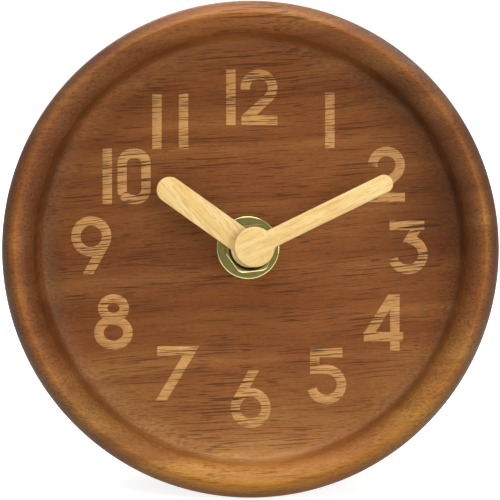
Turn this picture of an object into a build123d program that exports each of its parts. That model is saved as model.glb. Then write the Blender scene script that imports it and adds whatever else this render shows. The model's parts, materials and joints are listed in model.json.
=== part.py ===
from build123d import *

import os
from math import cos, hypot, radians, sin, sqrt, tan

# Round wooden desk clock with a quartz movement. Sizes are in millimetres and degrees.
# Every piece is drawn in the dial frame: origin at the middle of the dial face, +X to 3 o'clock,
# +Y to 12 o'clock, +Z towards the viewer. The finished pieces are then stood on the desk, leaning back.

# Wooden case, turned from one block
case_diameter = 110.0
case_back_diameter = 105.0
case_depth = 38.0
dial_setback = 9.5  # dial face behind the rim's crest
dial_thickness = 6.0
dial_cove_round = 14.0
dial_cove_slope = 16.0  # steepness that the shallow cove at the dial's edge ends with
rim_root_round = 1.2  # in the corner between the cove and the rim's wall
rim_wall_slope = 82.0
rim_shoulder_round = 1.0  # between the wall and the rim's face
rim_shoulder_slope = 60.0  # steepness that the face starts with
rim_face_round = 8.0
rim_face_slope = 25.0  # steepness that the face ends with, at the crest
rim_crest_round = 1.2
rim_outer_round = 2.6
back_edge_round = 3.0
cavity_corner_round = 3.0
cavity_mouth_chamfer = 1.0
cavity_clearance = 4.1  # round the housing's corners
lean_angle = 8.0
foot_start = 5.0  # distance behind the crest at which the flat underneath begins

# Fixing of the movement to the dial
bush_diameter = 8.0
bush_past_nut = 0.6
bush_play = 0.3  # between the bush and the hole in the dial
gasket_thickness = 1.0
gasket_diameter = 18.0
washer_diameter = 14.0
washer_thickness = 0.5
washer_edge_chamfer = 0.2
washer_play = 0.65  # between the bush and the washer's hole
washer_bearing = 149.0  # direction in which the loose washer lies off the axis
nut_sides = 6
nut_across_flats = 10.6
nut_thickness = 2.6
nut_corner_bevel = 30.0
nut_bore_chamfer = 0.7
nut_turn = 6.0
thread_clearance = 0.05

# Hands, set to ten past ten
hand_thickness = 1.2
hand_edge_round = 0.25
minute_hand_length = 33.8  # from the middle of the boss
minute_hand_width = 4.15
minute_hand_boss = 9.0
minute_hand_angle = 64.0  # clockwise from 12 o'clock
minute_boss_offset = 1.05  # from the axis to the middle of the boss, along the hand
hour_hand_length = 24.9
hour_hand_width = 5.85
hour_hand_boss = 8.4
hour_hand_angle = 305.5
hour_boss_offset = 0.2
hand_gap = 1.2  # free space between the two hands
press_clearance = 0.02  # between pieces pressed onto each other

# Brass bushes that carry the hands
hour_bush_wall = 0.58
hour_bush_flange_rim = 0.7
hour_bush_flange_thickness = 0.5
hour_bush_lift = 0.7  # space between the threaded bush's end and the flange
minute_bush_wall = 0.68
minute_bush_flange_rim = 1.1
minute_bush_flange_thickness = 0.5
minute_bush_collar_length = 0.4
minute_pocket_depth = 0.5

# Movement housing: a front case with the battery trough, and a back cover over the wheels
housing_corner = 3.0
housing_split = 9.0  # depth at which front case and back cover meet
housing_wall = 1.5
cover_rim_chamfer = 0.6
partition_thickness = 1.3
passage_height = 3.4  # of the slots for the contacts in the partition
trough_floor = 1.0
trough_clearance = 0.6
trough_wall_drop = 2.0  # from the cover's back to the trough's end walls
finger_notch_width = 34.0
bearing_boss = 2.8
bearing_boss_length = 1.8

# Battery and its contacts
battery_diameter = 14.2
battery_length = 50.5
battery_shoulder_round = 0.8
battery_nub_diameter = 5.4
battery_nub_length = 1.2
battery_floor_gap = 0.3
battery_end_room = 1.25  # for the contacts at each end
contact_thickness = 0.3
contact_gap = 0.2
contact_width = 9.0
contact_fold = 0.6  # flat ends of the bowed leaf
strip_width = 2.0
strip_gap = 0.3  # between the strip and the back cover's inner face

# Shafts and running fits
hour_tube_diameter = 5.0
minute_shaft_diameter = 3.2
running_clearance = 0.06
arbor_diameter = 1.3
arbor_tail = 1.0  # from the rearmost pinion to the arbors' rear shoulders
pivot_diameter = 0.8
pivot_length = 1.0
pivot_hole_spare = 0.2  # depth of a bearing hole past its pivot
end_shake = 0.2
wheel_gap = 0.25  # between a wheel's tip and an arbor that passes it
wheel_wall_gap = 0.4  # between a wheel's tip and the partition

# Teeth: straight flanks, sizes in modules and in shares of the pitch
addendum = 0.9
dedendum = 1.25
tooth_tip_share = 0.20
tooth_root_share = 0.54

# Wheels: tooth counts, spacing of the axes and their directions from the wheel before
cannon_teeth = 12
intermediate_teeth = 36
intermediate_pinion_teeth = 10
hour_teeth = 40
setting_teeth = 12
rotor_teeth = 8
fifth_teeth = 40
fifth_pinion_teeth = 8
second_teeth = 48
second_pinion_teeth = 8
third_teeth = 64
third_pinion_teeth = 8
centre_teeth = 60
motion_spacing = 9.0  # centre to intermediate wheel
third_spacing = 10.2  # centre to third wheel
rotor_spacing = 6.6  # fifth wheel to rotor
intermediate_bearing = 90.0
setting_bearing = 135.0
third_bearing = 160.0
fifth_bearing = 25.0
rotor_bearing = 60.0

# Thicknesses of the wheels and the gaps between them, from the front plate to the back cover
plate_gap = 0.3
hour_wheel_thickness = 1.0
cannon_thickness = 1.4
intermediate_thickness = 0.8
centre_thickness = 1.0
clutch_thickness = 0.3
arbor_cap_thickness = 0.5
fifth_thickness = 0.7
second_thickness = 0.8
third_thickness = 0.8
magnet_thickness = 2.4
pinion_overlap = 0.3  # a pinion is this much longer than its wheel, at each end
hour_pinion_overlap = 0.1
cannon_gap = 0.3
centre_gap = 0.5
clutch_gap = 0.05
fifth_gap = 0.1
second_gap = 0.7
third_gap = 1.1

# Hubs and rings on the arbors
second_hub = 3.2
intermediate_hub = 2.6
intermediate_post = 1.6
intermediate_post_spare = 0.3
arbor_cap = 4.8
clutch_diameter = 5.6
magnet_diameter = 5.2

# Setting shaft and knob
setting_shaft_diameter = 2.8
knob_diameter = 13.0
knob_height = 3.7
knob_lift = 0.3
knob_top_thickness = 0.6
knob_groove_count = 18
knob_groove_diameter = 1.5
knob_groove_depth = 0.4
knob_edge_round = 0.6

# Stepper coil, core and stator
stator_gap = 0.2  # between the intermediate wheel and the stator
stator_thickness = 0.8
stator_air_gap = 0.5
stator_band = 1.9
stator_arm_width = 2.6
core_thickness = 0.8
core_width = 2.4
core_end_gap = 0.4  # between the bobbin's flange and the stator's arm
coil_length = 14.0
coil_top_room = 2.1
coil_side_room = 1.0
bobbin_flange = 6.8
bobbin_flange_thickness = 1.0
bobbin_tube = 3.8
winding_diameter = 6.2
coil_clearance = 0.05

# Circuit board and what is soldered to it
board_width = 6.0
board_top = 11.0
board_thickness = 0.8
board_stand_off = 1.0
board_edge_gap = 0.05
stand_off_diameter = 3.0
chip_diameter = 4.4
chip_height = 1.0
chip_lift = 6.5  # heights on the dial
crystal_lift = -1.5
crystal_diameter = 2.0
crystal_length = 6.0

# Heights along the clock's axis, worked out from the sizes above
case_radius = case_diameter / 2
crest_radius = case_radius - rim_outer_round
case_back = dial_setback - case_depth
movement_front = -(dial_thickness + gasket_thickness)
bush_end = washer_thickness + nut_thickness + bush_past_nut
hour_hand_back = bush_end + hour_bush_lift + hour_bush_flange_thickness
hour_hand_front = hour_hand_back + hand_thickness
minute_hand_back = hour_hand_front + hand_gap


# Layers: the two depths behind the housing's front face between which each wheel lies


def layer(start, thickness):
    """Layer of a thickness."""
    return (start, start + thickness)


def widened(inner, by):
    """Layer that reaches past another at both ends."""
    return (inner[0] - by, inner[1] + by)


def middle(inner, thickness):
    """Layer of a thickness in the middle of another."""
    return layer((inner[0] + inner[1] - thickness) / 2, thickness)


arbor_front = housing_wall + plate_gap
hour_wheel_layer = layer(housing_wall + plate_gap, hour_wheel_thickness)
intermediate_pinion_layer = widened(hour_wheel_layer, hour_pinion_overlap)
cannon_layer = layer(hour_wheel_layer[1] + cannon_gap, cannon_thickness)
intermediate_layer = middle(cannon_layer, intermediate_thickness)
stator_layer = layer(intermediate_layer[1] + stator_gap, stator_thickness)
core_layer = layer(stator_layer[1], core_thickness)
magnet_layer = middle(stator_layer, magnet_thickness)
centre_layer = layer(cannon_layer[1] + centre_gap, centre_thickness)
third_pinion_layer = widened(centre_layer, pinion_overlap)
clutch_layer = layer(centre_layer[1] + clutch_gap, clutch_thickness)
arbor_cap_layer = layer(clutch_layer[1] + clutch_gap, arbor_cap_thickness)
fifth_layer = layer(arbor_cap_layer[1] + fifth_gap, fifth_thickness)
rotor_pinion_layer = widened(fifth_layer, pinion_overlap)
second_layer = layer(fifth_layer[1] + second_gap, second_thickness)
fifth_pinion_layer = widened(second_layer, pinion_overlap)
third_layer = layer(second_layer[1] + third_gap, third_thickness)
second_pinion_layer = widened(third_layer, pinion_overlap)
arbor_back = second_pinion_layer[1] + arbor_tail
bearing_layer = layer(arbor_back + end_shake, bearing_boss_length)
cover_inside = bearing_layer[1]
housing_depth = cover_inside + housing_wall
trough_end_wall = housing_depth - trough_wall_drop
passage_layer = (housing_split - passage_height, housing_split)
contact_tail_layer = widened(passage_layer, -contact_thickness)
board_layer = layer(housing_wall + board_stand_off, board_thickness)
knob_layer = layer(housing_depth + knob_lift, knob_height)
knob_seat_end = knob_layer[1] - knob_top_thickness


# Axes of the wheels on the dial, and the modules that their spacing gives


def away(start, distance, bearing):
    """Point at a distance from start, in the direction of bearing."""
    return (start[0] + distance * cos(radians(bearing)), start[1] + distance * sin(radians(bearing)))


def shared_module(spacing, teeth, other_teeth):
    """Module of two wheels that mesh at a spacing."""
    return 2 * spacing / (teeth + other_teeth)


def tip_radius(teeth, module):
    """Outer radius of a wheel."""
    return module * (teeth / 2 + addendum)


cannon_module = shared_module(motion_spacing, cannon_teeth, intermediate_teeth)
hour_module = shared_module(motion_spacing, intermediate_pinion_teeth, hour_teeth)
setting_spacing = cannon_module * (intermediate_teeth + setting_teeth) / 2
centre_module = shared_module(third_spacing, third_pinion_teeth, centre_teeth)
third_module = shared_module(third_spacing, second_pinion_teeth, third_teeth)
fifth_spacing = tip_radius(centre_teeth, centre_module) + arbor_diameter / 2 + wheel_gap
second_module = shared_module(fifth_spacing, fifth_pinion_teeth, second_teeth)
fifth_module = shared_module(rotor_spacing, rotor_teeth, fifth_teeth)

centre = (0.0, 0.0)
intermediate_axis = away(centre, motion_spacing, intermediate_bearing)
setting_axis = away(intermediate_axis, setting_spacing, setting_bearing)
third_axis = away(centre, third_spacing, third_bearing)
fifth_axis = away(centre, fifth_spacing, fifth_bearing)
rotor_axis = away(fifth_axis, rotor_spacing, rotor_bearing)
train_axes = (third_axis, fifth_axis, rotor_axis)

# Places on the dial: the coil over the rotor, and the housing round the wheels, the coil and the battery
stator_eye = magnet_diameter + 2 * stator_air_gap
stator_ring = stator_eye + 2 * stator_band
stator_elbow = rotor_axis[1] + stator_ring / 2
coil_height = stator_elbow + stator_arm_width + bobbin_flange / 2
coil_left = rotor_axis[0] - coil_length / 2
coil_right = rotor_axis[0] + coil_length / 2
core_overhang = core_end_gap + stator_arm_width

lowest_wheel = max(tip_radius(centre_teeth, centre_module), tip_radius(second_teeth, second_module))
room_bottom = -lowest_wheel - wheel_wall_gap
room_top = coil_height + bobbin_flange / 2 + coil_top_room
room_half_width = max(battery_length / 2 + battery_end_room, coil_right + core_overhang + coil_side_room)
trough_top = room_bottom - partition_thickness
trough_bottom = trough_top - battery_diameter - 2 * trough_clearance
housing_half_width = room_half_width + housing_wall
housing_top = room_top + housing_wall
housing_bottom = trough_bottom - housing_wall
battery_height = (trough_top + trough_bottom) / 2
battery_depth = trough_floor + battery_floor_gap + battery_diameter / 2
battery_left = -battery_length / 2
battery_right = battery_length / 2
board_left = -room_half_width + board_edge_gap
board_middle = board_left + board_width / 2

# Diameters of what fits round what
dial_bore = bush_diameter + 2 * bush_play
hour_bush_bore = hour_tube_diameter + 2 * press_clearance
hour_bush_collar = hour_bush_bore + 2 * hour_bush_wall
hour_bush_flange = hour_bush_collar + 2 * hour_bush_flange_rim
minute_bush_bore = minute_shaft_diameter + 2 * press_clearance
minute_bush_collar = minute_bush_bore + 2 * minute_bush_wall
minute_bush_flange = minute_bush_collar + 2 * minute_bush_flange_rim
pivot_hole = pivot_diameter + 2 * running_clearance
corner_rise = max(housing_top, -housing_bottom) - housing_corner
corner_reach = hypot(housing_half_width - housing_corner, corner_rise) + housing_corner
cavity_diameter = 2 * (corner_reach + cavity_clearance)
on_base = (Align.CENTER, Align.CENTER, Align.MIN)


def standing_place():
    """Place of the dial frame on the desk: the foot at Z 0 and the clock's box centred on the origin."""
    lean_sin = sin(radians(lean_angle))
    lean_cos = cos(radians(lean_angle))
    rim_drop = dial_setback - rim_outer_round
    front_reach = crest_radius * lean_sin + rim_drop * lean_cos + rim_outer_round
    back_radius = case_back_diameter / 2 - back_edge_round
    back_drop = case_back + back_edge_round
    back_reach = back_radius * lean_sin - back_drop * lean_cos + back_edge_round
    dial_y = (front_reach - back_reach) / 2
    dial_z = case_radius * lean_cos - (dial_setback - foot_start) * lean_sin
    return Plane(origin=(0, dial_y, dial_z), x_dir=(1, 0, 0), z_dir=(0, -lean_cos, lean_sin)).location


stand = standing_place()


# Shapes that several pieces share


def behind(depth):
    """Height of a plane that lies so deep behind the movement's front face."""
    return movement_front - depth


def rod(diameter, bottom, top, at=centre):
    """Cylinder along the clock's axis between two heights."""
    return Pos(at[0], at[1], bottom) * Cylinder(diameter / 2, top - bottom, align=on_base)


def disc(diameter, depths, at=centre):
    """Cylinder between the two depths of a layer of the movement."""
    return rod(diameter, behind(depths[1]), behind(depths[0]), at)


def slab(outline, depths):
    """A flat outline, as thick as a layer of the movement."""
    return extrude(Pos(0, 0, behind(depths[1])) * outline, amount=depths[1] - depths[0])


def block(left, right, low, high, depths):
    """Box between two sides, two heights on the dial and the two depths of a layer."""
    outline = Pos((left + right) / 2, (low + high) / 2) * Rectangle(right - left, high - low)
    return slab(outline, depths)


def across(diameter, left, right, height, depth):
    """Cylinder from left to right at a height on the dial and a depth in the movement."""
    start = Plane(origin=(left, height, behind(depth)), x_dir=(0, 1, 0), z_dir=(1, 0, 0))
    return start * Cylinder(diameter / 2, right - left, align=on_base)


def tooth_phase(driver_teeth, driver_phase, teeth, bearing):
    """Phase that puts a gap of a wheel over the driver's tooth, along bearing from the driver."""
    driver_pitches = (driver_phase - bearing) * driver_teeth / 360
    return bearing + 180 + (0.5 - driver_pitches) * 360 / teeth


def toothed(teeth, module, phase, depths, at):
    """Wheel or pinion with straight-flanked teeth, one of them centred on phase."""
    pitch_angle = 360 / teeth
    root = module * (teeth / 2 - dedendum)
    tip = tip_radius(teeth, module)
    half_tip = tooth_tip_share * pitch_angle / 2
    half_root = tooth_root_share * pitch_angle / 2
    corners = []
    for tooth in range(teeth):
        bearing = phase + tooth * pitch_angle
        corners.append(away(at, root, bearing - half_root))
        corners.append(away(at, tip, bearing - half_tip))
        corners.append(away(at, tip, bearing + half_tip))
        corners.append(away(at, root, bearing + half_root))
    return slab(Polygon(*corners, align=None), depths)


def arbor(at, front=arbor_front):
    """Wheel shaft with a pivot at each end."""
    shaft = disc(arbor_diameter, (front, arbor_back), at)
    return shaft + disc(pivot_diameter, (front - pivot_length, arbor_back + pivot_length), at)


# Case and what fixes the movement to it


def rise(slope):
    """Direction outwards and up a slope."""
    return (cos(radians(slope)), sin(radians(slope)))


def arc_step(radius, start_slope, end_slope):
    """Step outwards and up along an arc that turns from one slope to another."""
    start = rise(start_slope)
    end = rise(end_slope)
    return radius * Vector(abs(end[1] - start[1]), abs(end[0] - start[0]))


def wooden_case():
    """Turned bowl with the dial as its floor, the movement's cavity behind it and a flat foot."""
    crest = Vector(crest_radius, dial_setback)
    face_end = crest - arc_step(rim_crest_round, rim_face_slope, 0)
    face_start = face_end - arc_step(rim_face_round, rim_shoulder_slope, rim_face_slope)
    wall_top = face_start - arc_step(rim_shoulder_round, rim_wall_slope, rim_shoulder_slope)
    cove = arc_step(dial_cove_round, 0, dial_cove_slope)
    root = arc_step(rim_root_round, dial_cove_slope, rim_wall_slope)
    wall_height = wall_top.Y - root.Y - cove.Y
    wall_foot = wall_top - Vector(wall_height / tan(radians(rim_wall_slope)), wall_height)
    cove_end = wall_foot - root
    dial_edge = cove_end - cove

    # The flank is the straight line that touches the rim's outer round and the back edge's round
    rim_centre = Vector(crest_radius, dial_setback - rim_outer_round)
    back_centre = Vector(case_back_diameter / 2 - back_edge_round, case_back + back_edge_round)
    between = back_centre - rim_centre
    along = between.normalized()
    outward = Vector(-along.Y, along.X)
    share = (rim_outer_round - back_edge_round) / between.length
    normal = along * share + outward * sqrt(1 - share**2)
    flank_top = rim_centre + normal * rim_outer_round
    flank_end = back_centre + normal * back_edge_round
    back_flat = (back_centre.X, case_back)

    bore = dial_bore / 2
    cavity = cavity_diameter / 2
    dial_back = -dial_thickness
    mouth = (cavity + cavity_mouth_chamfer, case_back)
    mouth_end = (cavity, case_back + cavity_mouth_chamfer)
    corner_start = (cavity, dial_back - cavity_corner_round)
    corner_end = (cavity - cavity_corner_round, dial_back)
    profile = [
        Line((bore, 0), dial_edge),
        TangentArc(dial_edge, cove_end, tangent=(1, 0)),
        TangentArc(cove_end, wall_foot, tangent=rise(dial_cove_slope)),
        Line(wall_foot, wall_top),
        TangentArc(wall_top, face_start, tangent=rise(rim_wall_slope)),
        TangentArc(face_start, face_end, tangent=rise(rim_shoulder_slope)),
        TangentArc(face_end, crest, tangent=rise(rim_face_slope)),
        TangentArc(crest, flank_top, tangent=(1, 0)),
        Line(flank_top, flank_end),
        TangentArc(flank_end, back_flat, tangent=flank_end - flank_top),
        Line(back_flat, mouth),
        Line(mouth, mouth_end),
        Line(mouth_end, corner_start),
        TangentArc(corner_start, corner_end, tangent=(0, 1)),
        Line(corner_end, (bore, dial_back)),
        Line((bore, dial_back), (bore, 0)),
    ]
    turned = revolve(Plane.XZ * make_face(profile), Axis.Z)
    desk = Plane(stand.inverse())
    return split(turned, bisect_by=desk, keep=Keep.TOP)


def rubber_gasket():
    """Flat ring between the dial and the movement."""
    ring = Circle(gasket_diameter / 2) - Circle(bush_diameter / 2 + thread_clearance)
    return extrude(Pos(0, 0, movement_front) * ring, amount=gasket_thickness)


def brass_washer():
    """Flat washer on the dial, with its front edge taken off, leaning on one side of the bush."""
    ring = Circle(washer_diameter / 2) - Circle(bush_diameter / 2 + washer_play)
    place = away(centre, washer_play - thread_clearance, washer_bearing)
    washer = extrude(Pos(*place) * ring, amount=washer_thickness)
    front_circles = washer.edges().filter_by(GeomType.CIRCLE).group_by(Axis.Z)[-1]
    return chamfer(front_circles.sort_by(SortBy.RADIUS)[-1], washer_edge_chamfer)


def hex_nut():
    """Hexagon nut with a countersunk bore, whose front corners are turned off by a cone."""
    bore = Circle(bush_diameter / 2 + thread_clearance)
    hexagon = RegularPolygon(nut_across_flats / 2, nut_sides, major_radius=False, rotation=nut_turn)
    nut = extrude(Pos(0, 0, washer_thickness) * (hexagon - bore), amount=nut_thickness)
    nut = chamfer(nut.edges().filter_by(GeomType.CIRCLE).sort_by(Axis.Z)[-1], nut_bore_chamfer)
    flat_radius = nut_across_flats / 2
    corner_radius = flat_radius / cos(radians(180 / nut_sides))
    bevel_height = (corner_radius - flat_radius) * tan(radians(nut_corner_bevel))
    bevel_start = washer_thickness + nut_thickness - bevel_height
    turned = rod(2 * corner_radius, washer_thickness, bevel_start)
    turned += Pos(0, 0, bevel_start) * Cone(corner_radius, flat_radius, bevel_height, align=on_base)
    return nut & turned


# Hands


def hand(length, width, boss, offset, angle, back):
    """Flat bar with a round tip on a round boss, turned clockwise from 12 o'clock."""
    tip = length - width / 2
    outline = Circle(boss / 2) + Pos(0, tip / 2) * Rectangle(width, tip) + Pos(0, tip) * Circle(width / 2)
    blank = extrude(Rot(0, 0, -angle) * Pos(0, offset, back) * outline, amount=hand_thickness)
    return fillet(blank.faces().sort_by(Axis.Z)[-1].edges(), hand_edge_round)


def hour_hand():
    """Short, broad hand with a hole for its bush."""
    blank = hand(
        hour_hand_length,
        hour_hand_width,
        hour_hand_boss,
        hour_boss_offset,
        hour_hand_angle,
        hour_hand_back,
    )
    return blank - rod(hour_bush_collar + 2 * press_clearance, hour_hand_back, hour_hand_front)


def hour_hand_bush():
    """Flange behind the hour hand and collar inside it, pressed onto the hour tube."""
    flange_back = hour_hand_back - hour_bush_flange_thickness
    bush = rod(hour_bush_flange, flange_back, hour_hand_back)
    bush += rod(hour_bush_collar, hour_hand_back, hour_hand_front)
    return bush - rod(hour_bush_bore, flange_back, hour_hand_front)


def minute_hand():
    """Long, narrow hand with a blind pocket for the minute shaft behind its boss."""
    blank = hand(
        minute_hand_length,
        minute_hand_width,
        minute_hand_boss,
        minute_boss_offset,
        minute_hand_angle,
        minute_hand_back,
    )
    return blank - rod(minute_bush_bore, minute_hand_back, minute_hand_back + minute_pocket_depth)


def minute_hand_bush():
    """Flange behind the minute hand with a collar, pressed onto the minute shaft."""
    flange_back = minute_hand_back - minute_bush_flange_thickness
    collar_back = flange_back - minute_bush_collar_length
    bush = rod(minute_bush_flange, flange_back, minute_hand_back)
    bush += rod(minute_bush_collar, collar_back, flange_back)
    return bush - rod(minute_bush_bore, collar_back, minute_hand_back)


# Housing of the movement


def housing_outline(bottom, top):
    """The housing's rounded outline between two heights on the dial."""
    whole = RectangleRounded(2 * housing_half_width, housing_top - housing_bottom, housing_corner)
    band = Rectangle(2 * housing_half_width, top - bottom)
    return Pos(0, (housing_top + housing_bottom) / 2) * whole & Pos(0, (bottom + top) / 2) * band


def board_pegs():
    """Places of the pegs that the circuit board lies on."""
    low = room_bottom + stand_off_diameter
    return ((board_middle, low), (board_middle, board_top - stand_off_diameter))


def stator_ends():
    """Places where the stator's arms rest on their posts, under the ends of the coil's core."""
    reach = core_end_gap + stator_arm_width / 2
    return ((coil_left - reach, coil_height), (coil_right + reach, coil_height))


def movement_front_case():
    """Tray with the wheels' room, the battery trough, the bearings and the threaded bush."""
    tray = slab(housing_outline(housing_bottom, housing_top), (0, housing_split))
    tray += slab(housing_outline(housing_bottom, trough_top), (housing_split, trough_end_wall))
    tray -= block(-room_half_width, room_half_width, room_bottom, room_top, (housing_wall, housing_split))
    trough_layer = (trough_floor, trough_end_wall)
    tray -= block(-room_half_width, room_half_width, trough_bottom, trough_top, trough_layer)
    half_notch = finger_notch_width / 2
    tray -= block(-half_notch, half_notch, housing_bottom, trough_bottom, (housing_split, trough_end_wall))

    # Passages for the contacts, one at each end of the partition
    passage_width = 2 * contact_thickness
    for left in (-room_half_width, room_half_width - passage_width):
        tray -= block(left, left + passage_width, trough_top, room_bottom, passage_layer)

    tray += rod(bush_diameter, movement_front, bush_end)
    tray -= rod(hour_tube_diameter + 2 * running_clearance, behind(housing_wall), bush_end)
    post_end = intermediate_layer[1] + intermediate_post_spare
    tray += disc(intermediate_post, (housing_wall, post_end), intermediate_axis)
    for place in board_pegs():
        tray += disc(stand_off_diameter, (housing_wall, board_layer[0]), place)
    for place in stator_ends():
        tray += disc(stator_arm_width, (housing_wall, stator_layer[0]), place)
    hole_end = arbor_front - pivot_length - pivot_hole_spare
    for axis in (*train_axes, setting_axis):
        tray -= disc(pivot_hole, (hole_end, housing_wall), axis)
    return tray


def movement_back_cover():
    """Cap over the wheels' room, with a bearing boss for each arbor and a hole for the setting shaft."""
    cap = slab(housing_outline(trough_top, housing_top), (housing_split, housing_depth))
    cap = chamfer(cap.faces().sort_by(Axis.Z)[0].edges(), cover_rim_chamfer)
    cap -= block(-room_half_width, room_half_width, room_bottom, room_top, (housing_split, cover_inside))
    hole_end = arbor_back + pivot_length + pivot_hole_spare
    for axis in (centre, *train_axes):
        cap += disc(bearing_boss, bearing_layer, axis)
        cap -= disc(pivot_hole, (bearing_layer[0], hole_end), axis)
    shaft_hole = setting_shaft_diameter + 2 * running_clearance
    return cap - disc(shaft_hole, (cover_inside, housing_depth), setting_axis)


# Wheels of the motion work, which join the hands and the setting knob

cannon_phase = 0.0
intermediate_pinion_phase = 0.0
intermediate_phase = tooth_phase(cannon_teeth, cannon_phase, intermediate_teeth, intermediate_bearing)
hour_phase = tooth_phase(
    intermediate_pinion_teeth, intermediate_pinion_phase, hour_teeth, intermediate_bearing + 180
)
setting_phase = tooth_phase(intermediate_teeth, intermediate_phase, setting_teeth, setting_bearing)


def minute_arbor():
    """Minute hand's shaft with the cannon pinion and a cap behind the clutch."""
    shaft = rod(minute_shaft_diameter, behind(arbor_cap_layer[1]), minute_hand_back + minute_pocket_depth)
    shaft += toothed(cannon_teeth, cannon_module, cannon_phase, cannon_layer, centre)
    shaft += disc(arbor_cap, arbor_cap_layer)
    bore_end = arbor_cap_layer[1] + end_shake - pivot_length - pivot_hole_spare
    return shaft - disc(pivot_hole, (bore_end, arbor_cap_layer[1]))


def clutch_spring():
    """Spring ring that presses the centre wheel forward on the minute arbor."""
    bore = minute_shaft_diameter + 2 * press_clearance
    return disc(clutch_diameter, clutch_layer) - disc(bore, clutch_layer)


def hour_wheel():
    """Hour wheel with the tube that carries the hour hand."""
    tube_end = behind(hour_wheel_layer[1])
    wheel = toothed(hour_teeth, hour_module, hour_phase, hour_wheel_layer, centre)
    wheel += rod(hour_tube_diameter, tube_end, hour_hand_front)
    return wheel - rod(minute_shaft_diameter + 2 * running_clearance, tube_end, hour_hand_front)


def intermediate_wheel():
    """Wheel and pinion between the minute arbor and the hour wheel, turning on a post."""
    hub_layer = (intermediate_pinion_layer[0], intermediate_layer[1])
    wheel = disc(intermediate_hub, hub_layer, intermediate_axis)
    wheel += toothed(
        intermediate_teeth, cannon_module, intermediate_phase, intermediate_layer, intermediate_axis
    )
    wheel += toothed(
        intermediate_pinion_teeth,
        hour_module,
        intermediate_pinion_phase,
        intermediate_pinion_layer,
        intermediate_axis,
    )
    return wheel - disc(intermediate_post + 2 * running_clearance, hub_layer, intermediate_axis)


def setting_pinion():
    """Setting shaft with the pinion that turns the intermediate wheel."""
    shaft = disc(setting_shaft_diameter, (cannon_layer[0], knob_seat_end), setting_axis)
    shaft += toothed(setting_teeth, cannon_module, setting_phase, cannon_layer, setting_axis)
    shaft += disc(arbor_diameter, (arbor_front, cannon_layer[0]), setting_axis)
    return shaft + disc(pivot_diameter, (arbor_front - pivot_length, arbor_front), setting_axis)


def setting_knob():
    """Fluted knob pressed onto the end of the setting shaft."""
    knob = disc(knob_diameter, knob_layer, setting_axis)
    knob = fillet(knob.edges().group_by(Axis.Z)[0], knob_edge_round)
    groove_radius = knob_diameter / 2 + knob_groove_diameter / 2 - knob_groove_depth
    for groove in range(knob_groove_count):
        place = away(setting_axis, groove_radius, groove * 360 / knob_groove_count)
        knob -= disc(knob_groove_diameter, knob_layer, place)
    seat = setting_shaft_diameter + 2 * press_clearance
    return knob - disc(seat, (knob_layer[0], knob_seat_end), setting_axis)


# Wheels of the going train, from the rotor to the centre wheel

rotor_phase = 0.0
fifth_pinion_phase = 0.0
second_pinion_phase = 0.0
third_pinion_phase = 0.0
fifth_phase = tooth_phase(rotor_teeth, rotor_phase, fifth_teeth, rotor_bearing + 180)
second_phase = tooth_phase(fifth_pinion_teeth, fifth_pinion_phase, second_teeth, fifth_bearing + 180)
third_phase = tooth_phase(second_pinion_teeth, second_pinion_phase, third_teeth, third_bearing)
centre_phase = tooth_phase(third_pinion_teeth, third_pinion_phase, centre_teeth, third_bearing + 180)


def rotor_shaft():
    """Arbor and pinion of the stepper's rotor."""
    pinion = toothed(rotor_teeth, fifth_module, rotor_phase, rotor_pinion_layer, rotor_axis)
    return pinion + arbor(rotor_axis)


def rotor_magnet():
    """Ring magnet pressed onto the rotor's shaft."""
    bore = arbor_diameter + 2 * press_clearance
    return disc(magnet_diameter, magnet_layer, rotor_axis) - disc(bore, magnet_layer, rotor_axis)


def fifth_wheel():
    """Wheel, pinion and arbor next to the rotor."""
    wheel = toothed(fifth_teeth, fifth_module, fifth_phase, fifth_layer, fifth_axis)
    wheel += toothed(fifth_pinion_teeth, second_module, fifth_pinion_phase, fifth_pinion_layer, fifth_axis)
    return wheel + arbor(fifth_axis)


def second_wheel():
    """Wheel that turns once a minute, on the clock's own axis behind the minute arbor."""
    wheel = toothed(second_teeth, second_module, second_phase, second_layer, centre)
    wheel += toothed(second_pinion_teeth, third_module, second_pinion_phase, second_pinion_layer, centre)
    wheel += disc(second_hub, (second_layer[1], second_pinion_layer[0]))
    return wheel + arbor(centre, arbor_cap_layer[1] + end_shake)


def third_wheel():
    """Wheel, pinion and arbor between the second wheel and the centre wheel."""
    wheel = toothed(third_teeth, third_module, third_phase, third_layer, third_axis)
    wheel += toothed(third_pinion_teeth, centre_module, third_pinion_phase, third_pinion_layer, third_axis)
    return wheel + arbor(third_axis)


def centre_wheel():
    """Wheel that drives the minute arbor through the clutch."""
    wheel = toothed(centre_teeth, centre_module, centre_phase, centre_layer, centre)
    return wheel - disc(minute_shaft_diameter + 2 * running_clearance, centre_layer)


# Electrics


def stator():
    """Steel plate round the rotor, with an arm to each end of the coil's core."""
    outline = Pos(*rotor_axis) * Circle(stator_ring / 2)
    for end in stator_ends():
        arm = Polyline(rotor_axis, (end[0], stator_elbow), end)
        outline += trace(arm, line_width=stator_arm_width)
        outline += Pos(*end) * Circle(stator_arm_width / 2)
    outline -= Pos(*rotor_axis) * Circle(stator_eye / 2)
    outline -= Pos(*fifth_axis) * Circle(arbor_diameter / 2 + wheel_gap)
    return slab(outline, stator_layer)


def coil_core():
    """Flat iron strip through the bobbin, with its ends on the stator's arms."""
    left = coil_left - core_overhang
    right = coil_right + core_overhang
    return block(left, right, coil_height - core_width / 2, coil_height + core_width / 2, core_layer)


def round_coil(diameter, left, right):
    """Cylinder round the core's middle line."""
    return across(diameter, left, right, coil_height, (core_layer[0] + core_layer[1]) / 2)


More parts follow.
